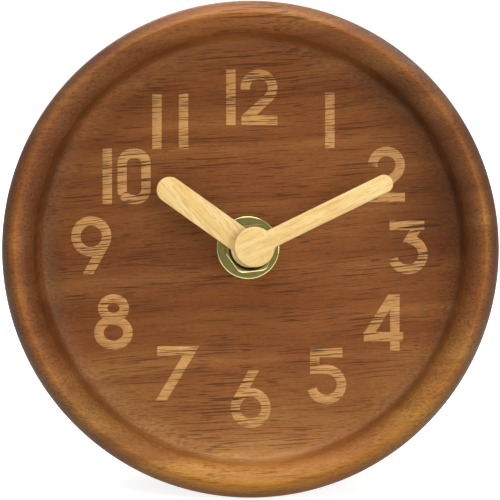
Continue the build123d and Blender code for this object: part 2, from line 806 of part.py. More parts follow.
def coil_bobbin():
    """Tube with two flanges, slotted for the core."""
    bobbin = round_coil(bobbin_tube, coil_left, coil_right)
    bobbin += round_coil(bobbin_flange, coil_left, coil_left + bobbin_flange_thickness)
    bobbin += round_coil(bobbin_flange, coil_right - bobbin_flange_thickness, coil_right)
    low = coil_height - core_width / 2 - coil_clearance
    high = coil_height + core_width / 2 + coil_clearance
    return bobbin - block(coil_left, coil_right, low, high, widened(core_layer, coil_clearance))


def coil_winding():
    """Copper winding between the bobbin's flanges."""
    left = coil_left + bobbin_flange_thickness + coil_clearance
    right = coil_right - bobbin_flange_thickness - coil_clearance
    inside = round_coil(bobbin_tube + 2 * coil_clearance, left, right)
    return round_coil(winding_diameter, left, right) - inside


def circuit_board():
    """Narrow board on its pegs beside the wheels."""
    low = room_bottom + board_edge_gap
    return block(board_left, board_left + board_width, low, board_top, board_layer)


def control_chip():
    """Drop of resin over the chip."""
    ball_radius = ((chip_diameter / 2) ** 2 + chip_height**2) / (2 * chip_height)
    board_face = behind(board_layer[1])
    ball = Pos(board_middle, chip_lift, board_face + ball_radius - chip_height) * Sphere(ball_radius)
    return split(ball, bisect_by=Plane(origin=(0, 0, board_face)), keep=Keep.BOTTOM)


def quartz_crystal():
    """The crystal's metal can, lying on the board."""
    can_height = behind(board_layer[1] + crystal_diameter / 2)
    start = (board_middle, crystal_lift - crystal_length / 2, can_height)
    axis = Plane(origin=start, x_dir=(1, 0, 0), z_dir=(0, 1, 0))
    return axis * Cylinder(crystal_diameter / 2, crystal_length, align=on_base)


def contact_plate(left):
    """Square of sheet metal on an end wall of the trough, and its tail through the partition."""
    right = left + contact_thickness
    half = contact_width / 2
    high = battery_height + half
    plate = block(left, right, battery_height - half, high, (battery_depth - half, battery_depth + half))
    return plate + block(left, right, high, room_bottom + contact_thickness, contact_tail_layer)


def negative_contact():
    """Contact with a bowed spring leaf for the battery's flat end and a foot on the circuit board."""
    wall = -room_half_width + contact_thickness
    crown = battery_left - contact_gap
    half = contact_width / 2
    leaf = Polygon(
        (wall, battery_height - half),
        (crown, battery_height - contact_fold),
        (crown, battery_height + contact_fold),
        (wall, battery_height + half),
        (wall, battery_height + half - contact_fold),
        (crown - contact_thickness, battery_height + contact_fold),
        (crown - contact_thickness, battery_height - contact_fold),
        (wall, battery_height - half + contact_fold),
        align=None,
    )
    leaf_layer = (battery_depth - half / 2, battery_depth + half / 2)
    contact = contact_plate(-room_half_width) + slab(leaf, leaf_layer)
    foot_low = room_bottom + contact_thickness
    foot_layer = (board_layer[1], contact_tail_layer[1])
    return contact + block(-room_half_width, wall, foot_low, foot_low + strip_width, foot_layer)


def positive_contact():
    """Contact with a raised button, and a strip along the partition to the circuit board."""
    wall = room_half_width - contact_thickness
    button_face = battery_right + contact_gap
    contact = contact_plate(wall)
    contact += across(battery_nub_diameter, button_face, wall, battery_height, battery_depth)
    low = room_bottom
    high = low + contact_thickness
    strip_end = cover_inside - strip_gap
    leg_right = board_left + board_width - contact_thickness
    leg_left = leg_right - strip_width
    riser_layer = (contact_tail_layer[0], strip_end)
    contact += block(room_half_width - strip_width, room_half_width, low, high, riser_layer)
    contact += block(leg_left, room_half_width, low, high, (strip_end - strip_width, strip_end))
    return contact + block(leg_left, leg_right, low, high, (board_layer[1], strip_end))


def battery():
    """Round cell with its raised button to the right."""
    shoulder = battery_right - battery_nub_length
    can = across(battery_diameter, battery_left, shoulder, battery_height, battery_depth)
    can = fillet(can.edges().filter_by(GeomType.CIRCLE), battery_shoulder_round)
    return can + across(battery_nub_diameter, shoulder, battery_right, battery_height, battery_depth)


pieces = {
    "wooden_case": wooden_case(),
    "rubber_gasket": rubber_gasket(),
    "brass_washer": brass_washer(),
    "hex_nut": hex_nut(),
    "hour_hand": hour_hand(),
    "hour_hand_bush": hour_hand_bush(),
    "minute_hand": minute_hand(),
    "minute_hand_bush": minute_hand_bush(),
    "movement_front_case": movement_front_case(),
    "movement_back_cover": movement_back_cover(),
    "minute_arbor": minute_arbor(),
    "clutch_spring": clutch_spring(),
    "hour_wheel": hour_wheel(),
    "intermediate_wheel": intermediate_wheel(),
    "setting_pinion": setting_pinion(),
    "setting_knob": setting_knob(),
    "rotor_shaft": rotor_shaft(),
    "rotor_magnet": rotor_magnet(),
    "fifth_wheel": fifth_wheel(),
    "second_wheel": second_wheel(),
    "third_wheel": third_wheel(),
    "centre_wheel": centre_wheel(),
    "stator": stator(),
    "coil_core": coil_core(),
    "coil_bobbin": coil_bobbin(),
    "coil_winding": coil_winding(),
    "circuit_board": circuit_board(),
    "control_chip": control_chip(),
    "quartz_crystal": quartz_crystal(),
    "negative_contact": negative_contact(),
    "positive_contact": positive_contact(),
    "battery": battery(),
}

os.makedirs("parts", exist_ok=True)
for name, piece in pieces.items():
    export_step(stand * piece, f"parts/{name}.step")
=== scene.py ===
import json

import bmesh
import bpy
import numpy as np
from mathutils import Matrix


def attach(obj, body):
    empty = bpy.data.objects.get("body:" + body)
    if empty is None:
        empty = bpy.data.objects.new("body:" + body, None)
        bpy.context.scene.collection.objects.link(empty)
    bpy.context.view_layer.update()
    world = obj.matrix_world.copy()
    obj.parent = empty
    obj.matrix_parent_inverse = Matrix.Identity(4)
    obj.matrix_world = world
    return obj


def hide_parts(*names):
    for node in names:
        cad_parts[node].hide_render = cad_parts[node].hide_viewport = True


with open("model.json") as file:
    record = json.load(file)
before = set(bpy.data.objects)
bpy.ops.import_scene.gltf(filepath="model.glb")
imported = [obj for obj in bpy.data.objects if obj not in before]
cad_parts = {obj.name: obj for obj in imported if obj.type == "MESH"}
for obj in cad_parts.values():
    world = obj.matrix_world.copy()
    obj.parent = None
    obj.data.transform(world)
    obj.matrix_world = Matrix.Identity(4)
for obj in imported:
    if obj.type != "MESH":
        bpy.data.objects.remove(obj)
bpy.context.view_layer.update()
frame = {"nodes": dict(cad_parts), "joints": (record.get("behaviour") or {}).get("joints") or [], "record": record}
nodes = frame["nodes"]
mm = 0.001
mergeReach = 1e-7  # metres within which two points of a mesh are one

# Directions of the dial, from the joint of the minute hand: right is 3 o'clock, up is 12 o'clock.
movementDepth = 7.0  # mm from the dial's face back to the joint's point: dial and gasket
minuteJoint = next(joint for joint in frame["joints"] if joint["name"] == "minute_spin")
towardViewer = -np.array(minuteJoint["axis"])
rightward = np.array([1.0, 0.0, 0.0])
upward = np.cross(towardViewer, rightward)
dialCentre = np.array(minuteJoint["pos_m"]) + movementDepth * mm * towardViewer
leanAngle = np.arcsin(towardViewer[2])
print("frame loaded, clock leans back", round(float(np.degrees(leanAngle)), 2), "degrees")


# Point of the frame for a place on the dial: across, up and forward in mm along the dial's own directions.
def onDial(across, up, forward):
    across, up, forward = np.broadcast_arrays(across, up, forward)
    steps = across[..., None] * rightward + up[..., None] * upward + forward[..., None] * towardViewer
    return dialCentre + mm * steps


# Corner numbers of the four-sided faces of a lattice of points. Each row closes on itself, and the last row
# joins the first if asked.
def latticeFaces(rows, columns, joinRows):
    row = np.arange(rows if joinRows else rows - 1)[:, None]
    column = np.arange(columns)[None, :]
    nextRow, nextColumn = (row + 1) % rows, (column + 1) % columns
    corners = (row * columns + column, row * columns + nextColumn)
    corners += (nextRow * columns + nextColumn, nextRow * columns + column)
    return np.stack(corners, axis=-1).reshape(-1, 4)


# Mesh object from points and faces, with doubles merged, faces outwards and smooth shading up to an angle.
# It gets the finish of its slot, unless it has its own.
def makePiece(name, points, faces, body, slot, standsFor=(), smoothAngle=32.0, finish=None):
    mesh = bpy.data.meshes.new(name)
    mesh.from_pydata(points.reshape(-1, 3), [], faces.tolist())
    shell = bmesh.new()
    shell.from_mesh(mesh)
    bmesh.ops.remove_doubles(shell, verts=shell.verts, dist=mergeReach)
    bmesh.ops.recalc_face_normals(shell, faces=shell.faces)
    shell.to_mesh(mesh)
    shell.free()
    mesh.shade_smooth()
    mesh.set_sharp_from_angle(angle=np.radians(smoothAngle))
    mesh.materials.append(finish or finishes[slot])
    piece = bpy.data.objects.new(name, mesh)
    bpy.context.scene.collection.objects.link(piece)
    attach(piece, body)
    if standsFor:
        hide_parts(*standsFor)
    return piece


# Piece from one lattice of points, whose last row joins the first if asked.
def latticePiece(name, points, joinRows, *home, finish=None):
    faces = latticeFaces(*points.shape[:2], joinRows)
    return makePiece(name, points, faces, *home, finish=finish)


# Points of an arc: centre plus radius times the cosine and sine of an even run of angles.
def arcPoints(centre, radius, start, end, count):
    angles = np.radians(np.linspace(start, end, count))
    radius = np.broadcast_to(radius, 2)
    return np.c_[centre[0] + radius[0] * np.cos(angles), centre[1] + radius[1] * np.sin(angles)]


# Rounded chamfer from straight ahead to straight out: the shares of its reach in the two directions, each
# raised to a power, add up to 1.
def chamferPoints(centre, reach, power, count):
    angles = np.radians(np.linspace(90, 0, count))
    shares = np.abs(np.c_[np.cos(angles), np.sin(angles)]) ** (2 / power)
    return np.array(centre) + reach * shares


# Steps of an eased edge's quarter circle: how far each is drawn in from the side, and how far off the face.
def easedEdge(ease, count):
    turn = np.radians(np.linspace(0, 90, count))
    return ease * np.c_[1 - np.cos(turn), 1 - np.sin(turn)]


def fullTurn(columns):
    return np.linspace(0, 2 * np.pi, columns, endpoint=False)


# Rings of points round a line along the clock's axis. Each row has one radius, or one for each angle, and how
# far it lies in front of the dial.
def ringLattice(rows, angles, centre=(0.0, 0.0)):
    radii = np.array([np.broadcast_to(radius, angles.shape) for radius, forward in rows])
    forward = np.array([[forward] for radius, forward in rows])
    return onDial(centre[0] + radii * np.cos(angles), centre[1] + radii * np.sin(angles), forward)


# Node helpers: a socket given as a value is set, and one given as another node's output is linked. What comes
# back is the new node's first output, or the one that is named.
def addNode(tree, kind, sockets=None, out=0, **settings):
    made = tree.nodes.new("ShaderNode" + kind)
    for key, value in settings.items():
        setattr(made, key, value)
    for key, value in (sockets or {}).items():
        if isinstance(value, bpy.types.NodeSocket):
            tree.links.new(value, made.inputs[key])
        else:
            made.inputs[key].default_value = value
    return made.outputs[out] if made.outputs else None


def newFinish(name, **values):
    material = bpy.data.materials.new(name)
    material.use_nodes = True
    shader = material.node_tree.nodes["Principled BSDF"]
    for key, value in values.items():
        shader.inputs[key.replace("_", " ")].default_value = value
    return material, material.node_tree, shader


def linkFinish(tree, shader, **outputs):
    for key, socket in outputs.items():
        tree.links.new(socket, shader.inputs[key.replace("_", " ")])


# Object coordinates in mm, turned into the dial's directions and then by an angle in the dial's plane.
def dialPlace(tree, turn=0.0):
    lean, spin = leanAngle - np.pi / 2, np.radians(turn)
    rotation = Matrix.Rotation(spin, 3, "Z") @ Matrix.Rotation(lean, 3, "X")
    sockets = {
        "Vector": addNode(tree, "TexCoord", out="Object"),
        "Scale": [1 / mm] * 3,
        "Rotation": (lean, 0, spin),
        "Location": -(np.array(rotation) @ dialCentre) / mm,
    }
    return addNode(tree, "Mapping", sockets)


def stretched(tree, place, stretch):
    return addNode(tree, "VectorMath", {0: place, 1: stretch}, operation="MULTIPLY")


def shifted(tree, place, step):
    return addNode(tree, "VectorMath", {0: place, 1: step}, operation="ADD")


def along(tree, place, axis):
    return addNode(tree, "SeparateXYZ", {0: place}, out=axis)


# Distance from the clock's axis.
def fromAxis(tree, place):
    flat = stretched(tree, place, (1.0, 1.0, 0.0))
    return addNode(tree, "VectorMath", {0: flat}, operation="LENGTH", out="Value")


def noise(tree, place, stretch, detail=2.0, roughness=0.5):
    place = stretched(tree, place, stretch)
    sockets = {"Vector": place, "Scale": 1.0, "Detail": detail, "Roughness": roughness}
    return addNode(tree, "TexNoise", sockets)


def ranged(tree, value, low, high, start=0.0, end=1.0):
    sockets = {"Value": value, "From Min": low, "From Max": high, "To Min": start, "To Max": end}
    return addNode(tree, "MapRange", sockets, interpolation_type="SMOOTHSTEP")


def combined(tree, operation, first, second):
    return addNode(tree, "Math", {0: first, 1: second}, operation=operation)


def blended(tree, factor, first, second, mode="MIX"):
    sockets = {0: factor, 6: first, 7: second}
    return addNode(tree, "Mix", sockets, data_type="RGBA", blend_type=mode, out=2)


# Colour times a plain brightness, as far as the factor says.
def shaded(tree, colour, brightness, factor=1.0):
    sockets = {channel: brightness for channel in range(3)}
    grey = addNode(tree, "CombineColor", sockets)
    return blended(tree, factor, colour, grey, "MULTIPLY")


def bumped(tree, height, strength, distance):
    sockets = {"Height": height, "Strength": strength, "Distance": distance}
    return addNode(tree, "Bump", sockets)


# Open-pored brown wood: broad bands, fine fibres, and dark pores as long thin streaks along the grain.
darkWood = {
    "grainRise": -4.0,  # degrees that the grain climbs to the right, as a turn of the pattern
    "deep": (0.158, 0.046, 0.0118, 1),
    "middle": (0.228, 0.078, 0.0208, 1),
    "pale": (0.315, 0.129, 0.0370, 1),
    "red": (0.210, 0.062, 0.0165, 1),
    "pore": (0.046, 0.0130, 0.0036, 1),
    "poreStrength": (0.72, 0.36),  # along the grain, and where the surface cuts across it
    "poreEdge": (0.690, 0.605),  # noise above which a pore shows, in sparse and in dense places
    "vesselStrength": 0.42,  # dots of open vessels on end grain
    "ringShade": (1.20, 0.84),  # from early to late wood in each ring
    "fibreShade": (0.84, 1.13),
    "mottleShade": (0.90, 1.10),
    "endShade": 0.60,  # what is left of the colour where the grain meets the surface end on
    "crestHighlightTint": (1.10, 1.13, 0.98, 1),  # painted highlight along the rim's crest
    "toneAndLightShare": 1.0,  # how far the wood follows the block's tone and its painted light and shade
    "roughness": (0.40, 0.54),
}
inlaidWood = {
    "grainRise": -4.0,
    "deep": (0.457, 0.223, 0.0740, 1),
    "middle": (0.535, 0.276, 0.0950, 1),
    "pale": (0.609, 0.334, 0.1230, 1),
    "red": (0.525, 0.258, 0.0870, 1),
    "pore": (0.095, 0.033, 0.0095, 1),
    "poreStrength": (1.0, 1.0),
    "poreEdge": (0.650, 0.580),
    "vesselStrength": 0.0,
    "ringShade": (1.0, 1.0),
    "fibreShade": (0.84, 1.12),
    "mottleShade": (0.92, 1.08),
    "endShade": 1.0,
    "crestHighlightTint": (1, 1, 1, 1),
    "toneAndLightShare": 0.15,
    "roughness": (0.50, 0.64),
}
grainSway = {"pattern": (0.012, 0.05, 0.05), "height": 6.0}  # wandering of the grain in mm
grain = {  # how often each pattern changes per mm along, across and into the block, its detail and roughness
    "bands": ((0.006, 0.15, 0.045), 3.0, 0.55),
    "blush": ((0.020, 0.090, 0.030), 3.0, 0.6),
    "fibres": ((0.10, 3.6, 3.6), 3.0, 0.62),
    "mottle": ((0.9, 2.4, 2.4), 2.0, 0.6),
    "clusters": ((0.022, 0.17, 0.17), 2.0, 0.5),
    "longPores": ((0.062, 3.2, 3.2), 0.6, 0.5),
    "shortPores": ((0.20, 4.4, 4.4), 0.4, 0.5),
    "vessels": ((0.35, 2.3, 2.3), 1.0, 0.5),
}
endGrain = {  # shares of end grain in the surface between which each of these comes in
    "pores": (0.03, 0.17),
    "vessels": (0.06, 0.45),
    "soak": (0.12, 0.85),
    "rings": (0.82, 0.97),  # polish hides the rings in the bowl, so they keep to the steep flank
}
growthRings = {
    "heart": (0, 95, 40),  # mm from the tree's heart to the middle of the dial
    "scale": 0.105,  # a ring of 3 mm
    "waver": 2.2,
    "waverScale": 0.5,
}
crestHighlight = {"start": 8.6, "full": 9.45}  # painted highlight along the rim's crest, from where it starts to where it is full, in mm in front of the dial


# Broad changes of tone in the block, partly the wood's own tone and mostly painted light and shade: brighter
# towards the bottom, painted shade towards the upper right, a painted sheen on the lower cove. Each row has the
# middle of a patch across, up and in front of the dial in mm, its reach in the same directions, and what it
# multiplies the colour by.
toneAndLightPatches = [
    ((0, -52, 0), (66, 36, 60), (1.22, 1.40, 1.40)),
    ((0, -46, 0), (46, 15, 4), (1.46, 1.78, 2.10)),
    ((-35, -35, 0), (22, 20, 4), (1.20, 1.44, 1.64)),
    ((34, -34, 0), (13, 13, 4), (1.30, 1.62, 1.90)),
    ((38, -38, 8), (22, 22, 7), (1.52, 1.90, 1.42)),
    ((-38, -38, 8), (20, 20, 7), (1.16, 1.42, 1.38)),
    ((0, -54, 8), (52, 24, 8), (1.20, 1.24, 0.78)),
    ((0, 53, 0), (42, 9, 60), (1.30, 1.48, 1.34)),
    ((-38, 38, 8), (22, 22, 8), (0.82, 0.84, 0.84)),
    ((42, 4, 0), (20, 26, 60), (0.66, 0.64, 0.66)),
    ((42, 2, 0), (14, 26, 4), (0.82, 0.75, 0.72)),
    ((46, 30, 0), (22, 24, 60), (0.82, 0.82, 0.84)),
    ((36, 34, 2), (16, 16, 8), (0.72, 0.72, 0.80)),
    ((36, 35, 5), (17, 17, 4.5), (0.74, 0.73, 0.80)),
    ((47, 6, 3.5), (7, 30, 4), (0.82, 0.82, 0.96)),
    ((53, 2, 9.5), (6, 30, 1.8), (1.36, 1.46, 1.36)),
    ((0, -52, 8.4), (70, 36, 2.6), (1.19, 1.25, 1.12)),
    ((-47.4, 0, 2.2), (5, 32, 2.9), (1.40, 1.48, 1.42)),
    ((-33.5, 33.5, 2.2), (14, 14, 2.8), (1.56, 1.56, 1.40)),
    ((35.5, 37, 7.5), (16, 16, 4), (0.82, 0.81, 0.84)),
    ((0, 49.5, 6.5), (30, 5, 2.2), (0.82, 0.76, 0.66)),
    ((-51.5, -8, 9.4), (14, 40, 1.3), (1.30, 1.28, 1.12)),
    ((48, 37, 7.2), (12, 17, 4.2), (1.70, 1.60, 1.20)),
    ((-45, 38, 7.6), (13, 17, 4.5), (1.34, 1.34, 1.34)),
    ((0, 58, 7.5), (60, 7, 4.5), (1.40, 1.40, 1.10)),
    ((-33, -37, 5), (16, 16, 3.4), (0.84, 0.80, 0.74)),
    ((-24, 0, 0), (36, 32, 60), (0.78, 0.78, 0.80)),
    ((-44.8, -2, 0.3), (4.6, 32, 2.2), (0.72, 0.74, 0.72)),
]
ringShadePatches = [  # painted shade on the rim's inner face: the same with the distance from the clock's axis in place of across and up
    ((49.0, 0.0, 6.2), (2.4, 1.0, 3.2), (0.95, 0.86, 0.56)),
]
flankShade = {"start": 52.6, "full": 54.4, "tone": 0.62}  # painted shade on the outside of the rim, by mm from the clock's axis


# Multiplies a tone by a patch, whose effect falls off smoothly to none at the edge of its oval.
def patched(tree, tone, place, patch, share):
    middle, reach, tint = (np.array(values) for values in patch)
    sockets = {0: stretched(tree, place, 1 / reach), 1: middle / reach}
    away = addNode(tree, "VectorMath", sockets, operation="DISTANCE", out="Value")
    return blended(tree, ranged(tree, away, 0.0, 1.0, share, 0.0), tone, (*tint, 1.0), "MULTIPLY")


# Product of all patches and rings of tone and painted light and shade, and of the painted shade on the outside of
# the rim.
def blockToneAndLight(tree, place, share):
    tone = (1.0, 1.0, 1.0, 1.0)
    for patch in toneAndLightPatches:
        tone = patched(tree, tone, place, patch, share)
    radius, forward = fromAxis(tree, place), along(tree, place, "Z")
    turned = addNode(tree, "CombineXYZ", {"X": radius, "Z": forward})
    for patch in ringShadePatches:
        tone = patched(tree, tone, turned, patch, share)
    flank = ranged(tree, radius, flankShade["start"], flankShade["full"], 1.0, flankShade["tone"])
    return shaded(tree, tone, flank)


# The two numbers after each noise are its values between which a colour, shade or pore comes in.
def porousWood(name, look):
    material, tree, shader = newFinish(name, Specular_IOR_Level=0.22, Specular_Tint=(1.0, 0.86, 0.68, 1))
    straight = dialPlace(tree, look["grainRise"])
    sway = combined(tree, "MULTIPLY", noise(tree, straight, grainSway["pattern"]), grainSway["height"])
    place = shifted(tree, straight, addNode(tree, "CombineXYZ", {"Y": sway}))
    bands, blush, fibres, mottle, clusters, longPores, shortPores, vessels = (
        noise(tree, place, *pattern) for pattern in grain.values()
    )

    colour = blended(tree, ranged(tree, bands, 0.30, 0.52), look["deep"], look["middle"])
    colour = blended(tree, ranged(tree, bands, 0.48, 0.74), colour, look["pale"])
    colour = blended(tree, ranged(tree, blush, 0.42, 0.66, 0.0, 0.85), colour, look["red"])
    fibreShade = ranged(tree, fibres, 0.25, 0.75, *look["fibreShade"])
    mottleShade = ranged(tree, mottle, 0.30, 0.70, *look["mottleShade"])
    colour = shaded(tree, colour, combined(tree, "MULTIPLY", fibreShade, mottleShade))

    edge = ranged(tree, clusters, 0.34, 0.64, *look["poreEdge"])
    longMask = ranged(tree, combined(tree, "SUBTRACT", longPores, edge), 0.0, 0.035)
    shortMask = ranged(tree, combined(tree, "SUBTRACT", shortPores, edge), 0.0, 0.05, 0.0, 0.9)
    pores = combined(tree, "MAXIMUM", longMask, shortMask)
    outward = along(tree, addNode(tree, "TexCoord", out="Normal"), "X")
    endOn = addNode(tree, "Math", {0: outward}, operation="ABSOLUTE")
    strength = ranged(tree, endOn, *endGrain["pores"], *look["poreStrength"])
    colour = blended(tree, combined(tree, "MULTIPLY", pores, strength), colour, look["pore"])

    # where the surface cuts across the fibres, growth rings and open vessels show and the finish soaks in
    sockets = {"Vector": shifted(tree, place, growthRings["heart"]), "Scale": growthRings["scale"]}
    sockets.update({"Distortion": growthRings["waver"], "Detail Scale": growthRings["waverScale"]})
    settings = {"wave_type": "RINGS", "rings_direction": "X", "wave_profile": "SAW"}
    rings = addNode(tree, "TexWave", sockets, out="Fac", **settings)
    ringShade = ranged(tree, rings, 0.0, 1.0, *look["ringShade"])
    colour = shaded(tree, colour, ringShade, ranged(tree, endOn, *endGrain["rings"]))
    strength = ranged(tree, endOn, *endGrain["vessels"], 0.0, look["vesselStrength"])
    dots = combined(tree, "MULTIPLY", ranged(tree, vessels, 0.50, 0.70), strength)
    colour = blended(tree, dots, colour, look["pore"])
    colour = shaded(tree, colour, ranged(tree, endOn, *endGrain["soak"], 1.0, look["endShade"]))

    # painted highlight along the rim's crest
    highlight = ranged(tree, along(tree, straight, "Z"), crestHighlight["start"], crestHighlight["full"])
    colour = blended(tree, highlight, colour, look["crestHighlightTint"], "MULTIPLY")
    # the block's tone, with its painted light and shade
    colour = blended(tree, 1.0, colour, blockToneAndLight(tree, straight, look["toneAndLightShare"]), "MULTIPLY")
    relief = combined(tree, "SUBTRACT", combined(tree, "MULTIPLY", fibres, 0.35), pores)
    gloss = ranged(tree, combined(tree, "ADD", fibres, pores), 0.2, 1.4, *look["roughness"])
    normal = bumped(tree, relief, 0.30, 0.06 * mm)
    linkFinish(tree, shader, Base_Color=colour, Normal=normal, Roughness=gloss)
    return material


# Pale close-grained wood of the hands, with fine streaks along each hand and edges browned by the cutter.
paleWood = {
    "ground": (0.755, 0.518, 0.198, 1),
    "streak": (0.600, 0.350, 0.105, 1),
    "light": (0.810, 0.608, 0.288, 1),
    "browned": (0.200, 0.085, 0.024, 1),
    "brownedDepth": (0.05, 0.14),  # mm behind the front face
    "streaks": (0.16, 2.4, 2.4),  # how often each pattern changes per mm along, across and into the hand
    "patches": (0.08, 0.45, 0.45),
    "flecks": (0.55, 4.2, 4.2),
}


def handWood(name, turn, front):
    look = paleWood
    material, tree, shader = newFinish(name, Specular_IOR_Level=0.35)
    place = dialPlace(tree, turn)
    streaks = noise(tree, place, look["streaks"], 4.0, 0.65)
    patches = noise(tree, place, look["patches"], 3.0)
    flecks = noise(tree, place, look["flecks"], 1.0)
    colour = blended(tree, ranged(tree, patches, 0.36, 0.66), look["ground"], look["light"])
    colour = blended(tree, ranged(tree, streaks, 0.46, 0.72, 0.0, 0.85), colour, look["streak"])
    colour = blended(tree, ranged(tree, flecks, 0.58, 0.70, 0.0, 0.65), colour, look["streak"])
    shallow, deep = look["brownedDepth"]
    side = ranged(tree, along(tree, place, "Z"), front - deep, front - shallow, 1.0, 0.0)
    colour = blended(tree, side, colour, look["browned"])
    normal = bumped(tree, streaks, 0.22, 0.05 * mm)
    gloss = ranged(tree, streaks, 0.3, 0.7, 0.42, 0.56)
    linkFinish(tree, shader, Base_Color=colour, Normal=normal, Roughness=gloss)
    return material


# Two colours that change in clouds, with a gloss that follows the clouds and a finer texture in the surface.
def cloudFinish(tree, shader, look, colours, gloss, texture, relief):
    clouds = noise(tree, dialPlace(tree), [look["clouds"]] * 3, 3.0)
    colour = blended(tree, ranged(tree, clouds, *look["cloudEdge"]), *colours)
    span = (gloss - look["glossSpread"], gloss + look["glossSpread"])
    rough = ranged(tree, combined(tree, "ADD", clouds, texture), *look["glossEdge"], *span)
    normal = bumped(tree, texture, relief, look["depth"] * mm)
    linkFinish(tree, shader, Base_Color=colour, Roughness=rough, Normal=normal)


# Metal with clouds of tarnish and fine turning marks, a noise of the distance from the clock's axis.
metalLook = {
    "clouds": 0.35, "cloudEdge": (0.40, 0.70), "tarnish": 0.76, "marks": 9.0, "relief": 0.25, "depth": 0.02,
    "glossEdge": (0.6, 1.4), "glossSpread": 0.06,
}


def turnedMetal(name, colour, gloss):
    look = metalLook
    material, tree, shader = newFinish(name, Metallic=1.0)
    reach = combined(tree, "MULTIPLY", fromAxis(tree, dialPlace(tree)), look["marks"])
    marks = noise(tree, addNode(tree, "CombineXYZ", {"X": reach}), (1, 1, 1), 3.0)
    tarnished = tuple(value * look["tarnish"] for value in colour[:3]) + (1,)
    cloudFinish(tree, shader, look, (colour, tarnished), gloss, marks, look["relief"])
    return material


# Moulded plastic: a fine spark-eroded grain in the surface, with slightly uneven colour and gloss.
plasticLook = {
    "clouds": 0.12, "cloudEdge": (0.40, 0.75), "wear": 1.35, "haze": 0.004, "grain": 6.0, "depth": 0.04,
    "glossEdge": (0.7, 1.3), "glossSpread": 0.07,
}


def mouldedPlastic(name, colour, gloss, fineness=1.0, relief=0.25):
    look = plasticLook
    material, tree, shader = newFinish(name, Specular_IOR_Level=0.4)
    texture = noise(tree, dialPlace(tree), [look["grain"] * fineness] * 3)
    worn = tuple(min(1.0, value * look["wear"] + look["haze"]) for value in colour[:3]) + (1,)
    cloudFinish(tree, shader, look, (colour, worn), gloss, texture, relief)
    return material


# Enamelled copper wire: even turns across the coil as a wave along it.
coilWire = {"turns": 1.6, "shadow": (0.24, 0.060, 0.020, 1), "lit": (0.68, 0.26, 0.095, 1)}


def woundCopper(name):
    material, tree, shader = newFinish(name, Metallic=1.0)
    sockets = {"Vector": dialPlace(tree), "Scale": coilWire["turns"], "Distortion": 0.6, "Detail": 1.0}
    settings = {"wave_type": "BANDS", "bands_direction": "X"}
    turns = addNode(tree, "TexWave", sockets, out="Fac", **settings)
    colour = blended(tree, turns, coilWire["shadow"], coilWire["lit"])
    rough = ranged(tree, turns, 0.0, 1.0, 0.42, 0.24)
    linkFinish(tree, shader, Base_Color=colour, Roughness=rough, Normal=bumped(tree, turns, 0.6, 0.06 * mm))
    return material


# Circuit board: green lacquer with paler copper tracks along and across it.
boardLook = {
    "dark": (0.012, 0.085, 0.026, 1),
    "green": (0.020, 0.120, 0.038, 1),
    "track": (0.060, 0.260, 0.085, 1),
    "trackScale": 0.45,
    "trackWidth": 0.10,
}


def lacqueredBoard(name):
    look = boardLook
    material, tree, shader = newFinish(name, Specular_IOR_Level=0.5)
    place = dialPlace(tree)
    sockets = {"Vector": place, "Scale": look["trackScale"], "Mortar Size": look["trackWidth"]}
    sockets.update({"Color1": (0, 0, 0, 1), "Color2": (0, 0, 0, 1), "Mortar": (1, 1, 1, 1)})
    tracks = addNode(tree, "TexBrick", sockets)
    weave = noise(tree, place, (2.0, 2.0, 2.0))
    colour = blended(tree, tracks, blended(tree, weave, look["dark"], look["green"]), look["track"])
    linkFinish(tree, shader, Base_Color=colour, Roughness=ranged(tree, weave, 0.3, 0.7, 0.26, 0.40))
    return material


# Battery sleeve: a plain slate film with a grey band and bare metal ends, told apart by the place along it.
batterySleeve = {
    "film": (0.085, 0.120, 0.155, 1),
    "band": (0.400, 0.410, 0.415, 1),
    "metal": (0.640, 0.640, 0.630, 1),
    "scuff": (0.170, 0.195, 0.220, 1),
    "bandStart": 15.5,  # mm to the right of the clock's axis
    "filmEnd": 23.2,
    "filmStart": -24.6,
}


def batteryFilm(name):
    look = batterySleeve
    material, tree, shader = newFinish(name, Coat_Weight=0.25, Coat_Roughness=0.12)
    place = dialPlace(tree)
    sideways = along(tree, place, "X")
    scuffs = noise(tree, place, (0.5, 2.2, 2.2), 3.0)
    band = combined(tree, "GREATER_THAN", sideways, look["bandStart"])
    button = combined(tree, "GREATER_THAN", sideways, look["filmEnd"])
    base = combined(tree, "LESS_THAN", sideways, look["filmStart"])
    ends = combined(tree, "MAXIMUM", button, base)
    colour = blended(tree, band, look["film"], look["band"])
    colour = blended(tree, ranged(tree, scuffs, 0.60, 0.80, 0.0, 0.25), colour, look["scuff"])
    colour = blended(tree, ends, colour, look["metal"])
    rough = ranged(tree, scuffs, 0.3, 0.8, 0.24, 0.40)
    linkFinish(tree, shader, Base_Color=colour, Metallic=ends, Roughness=rough)
    return material


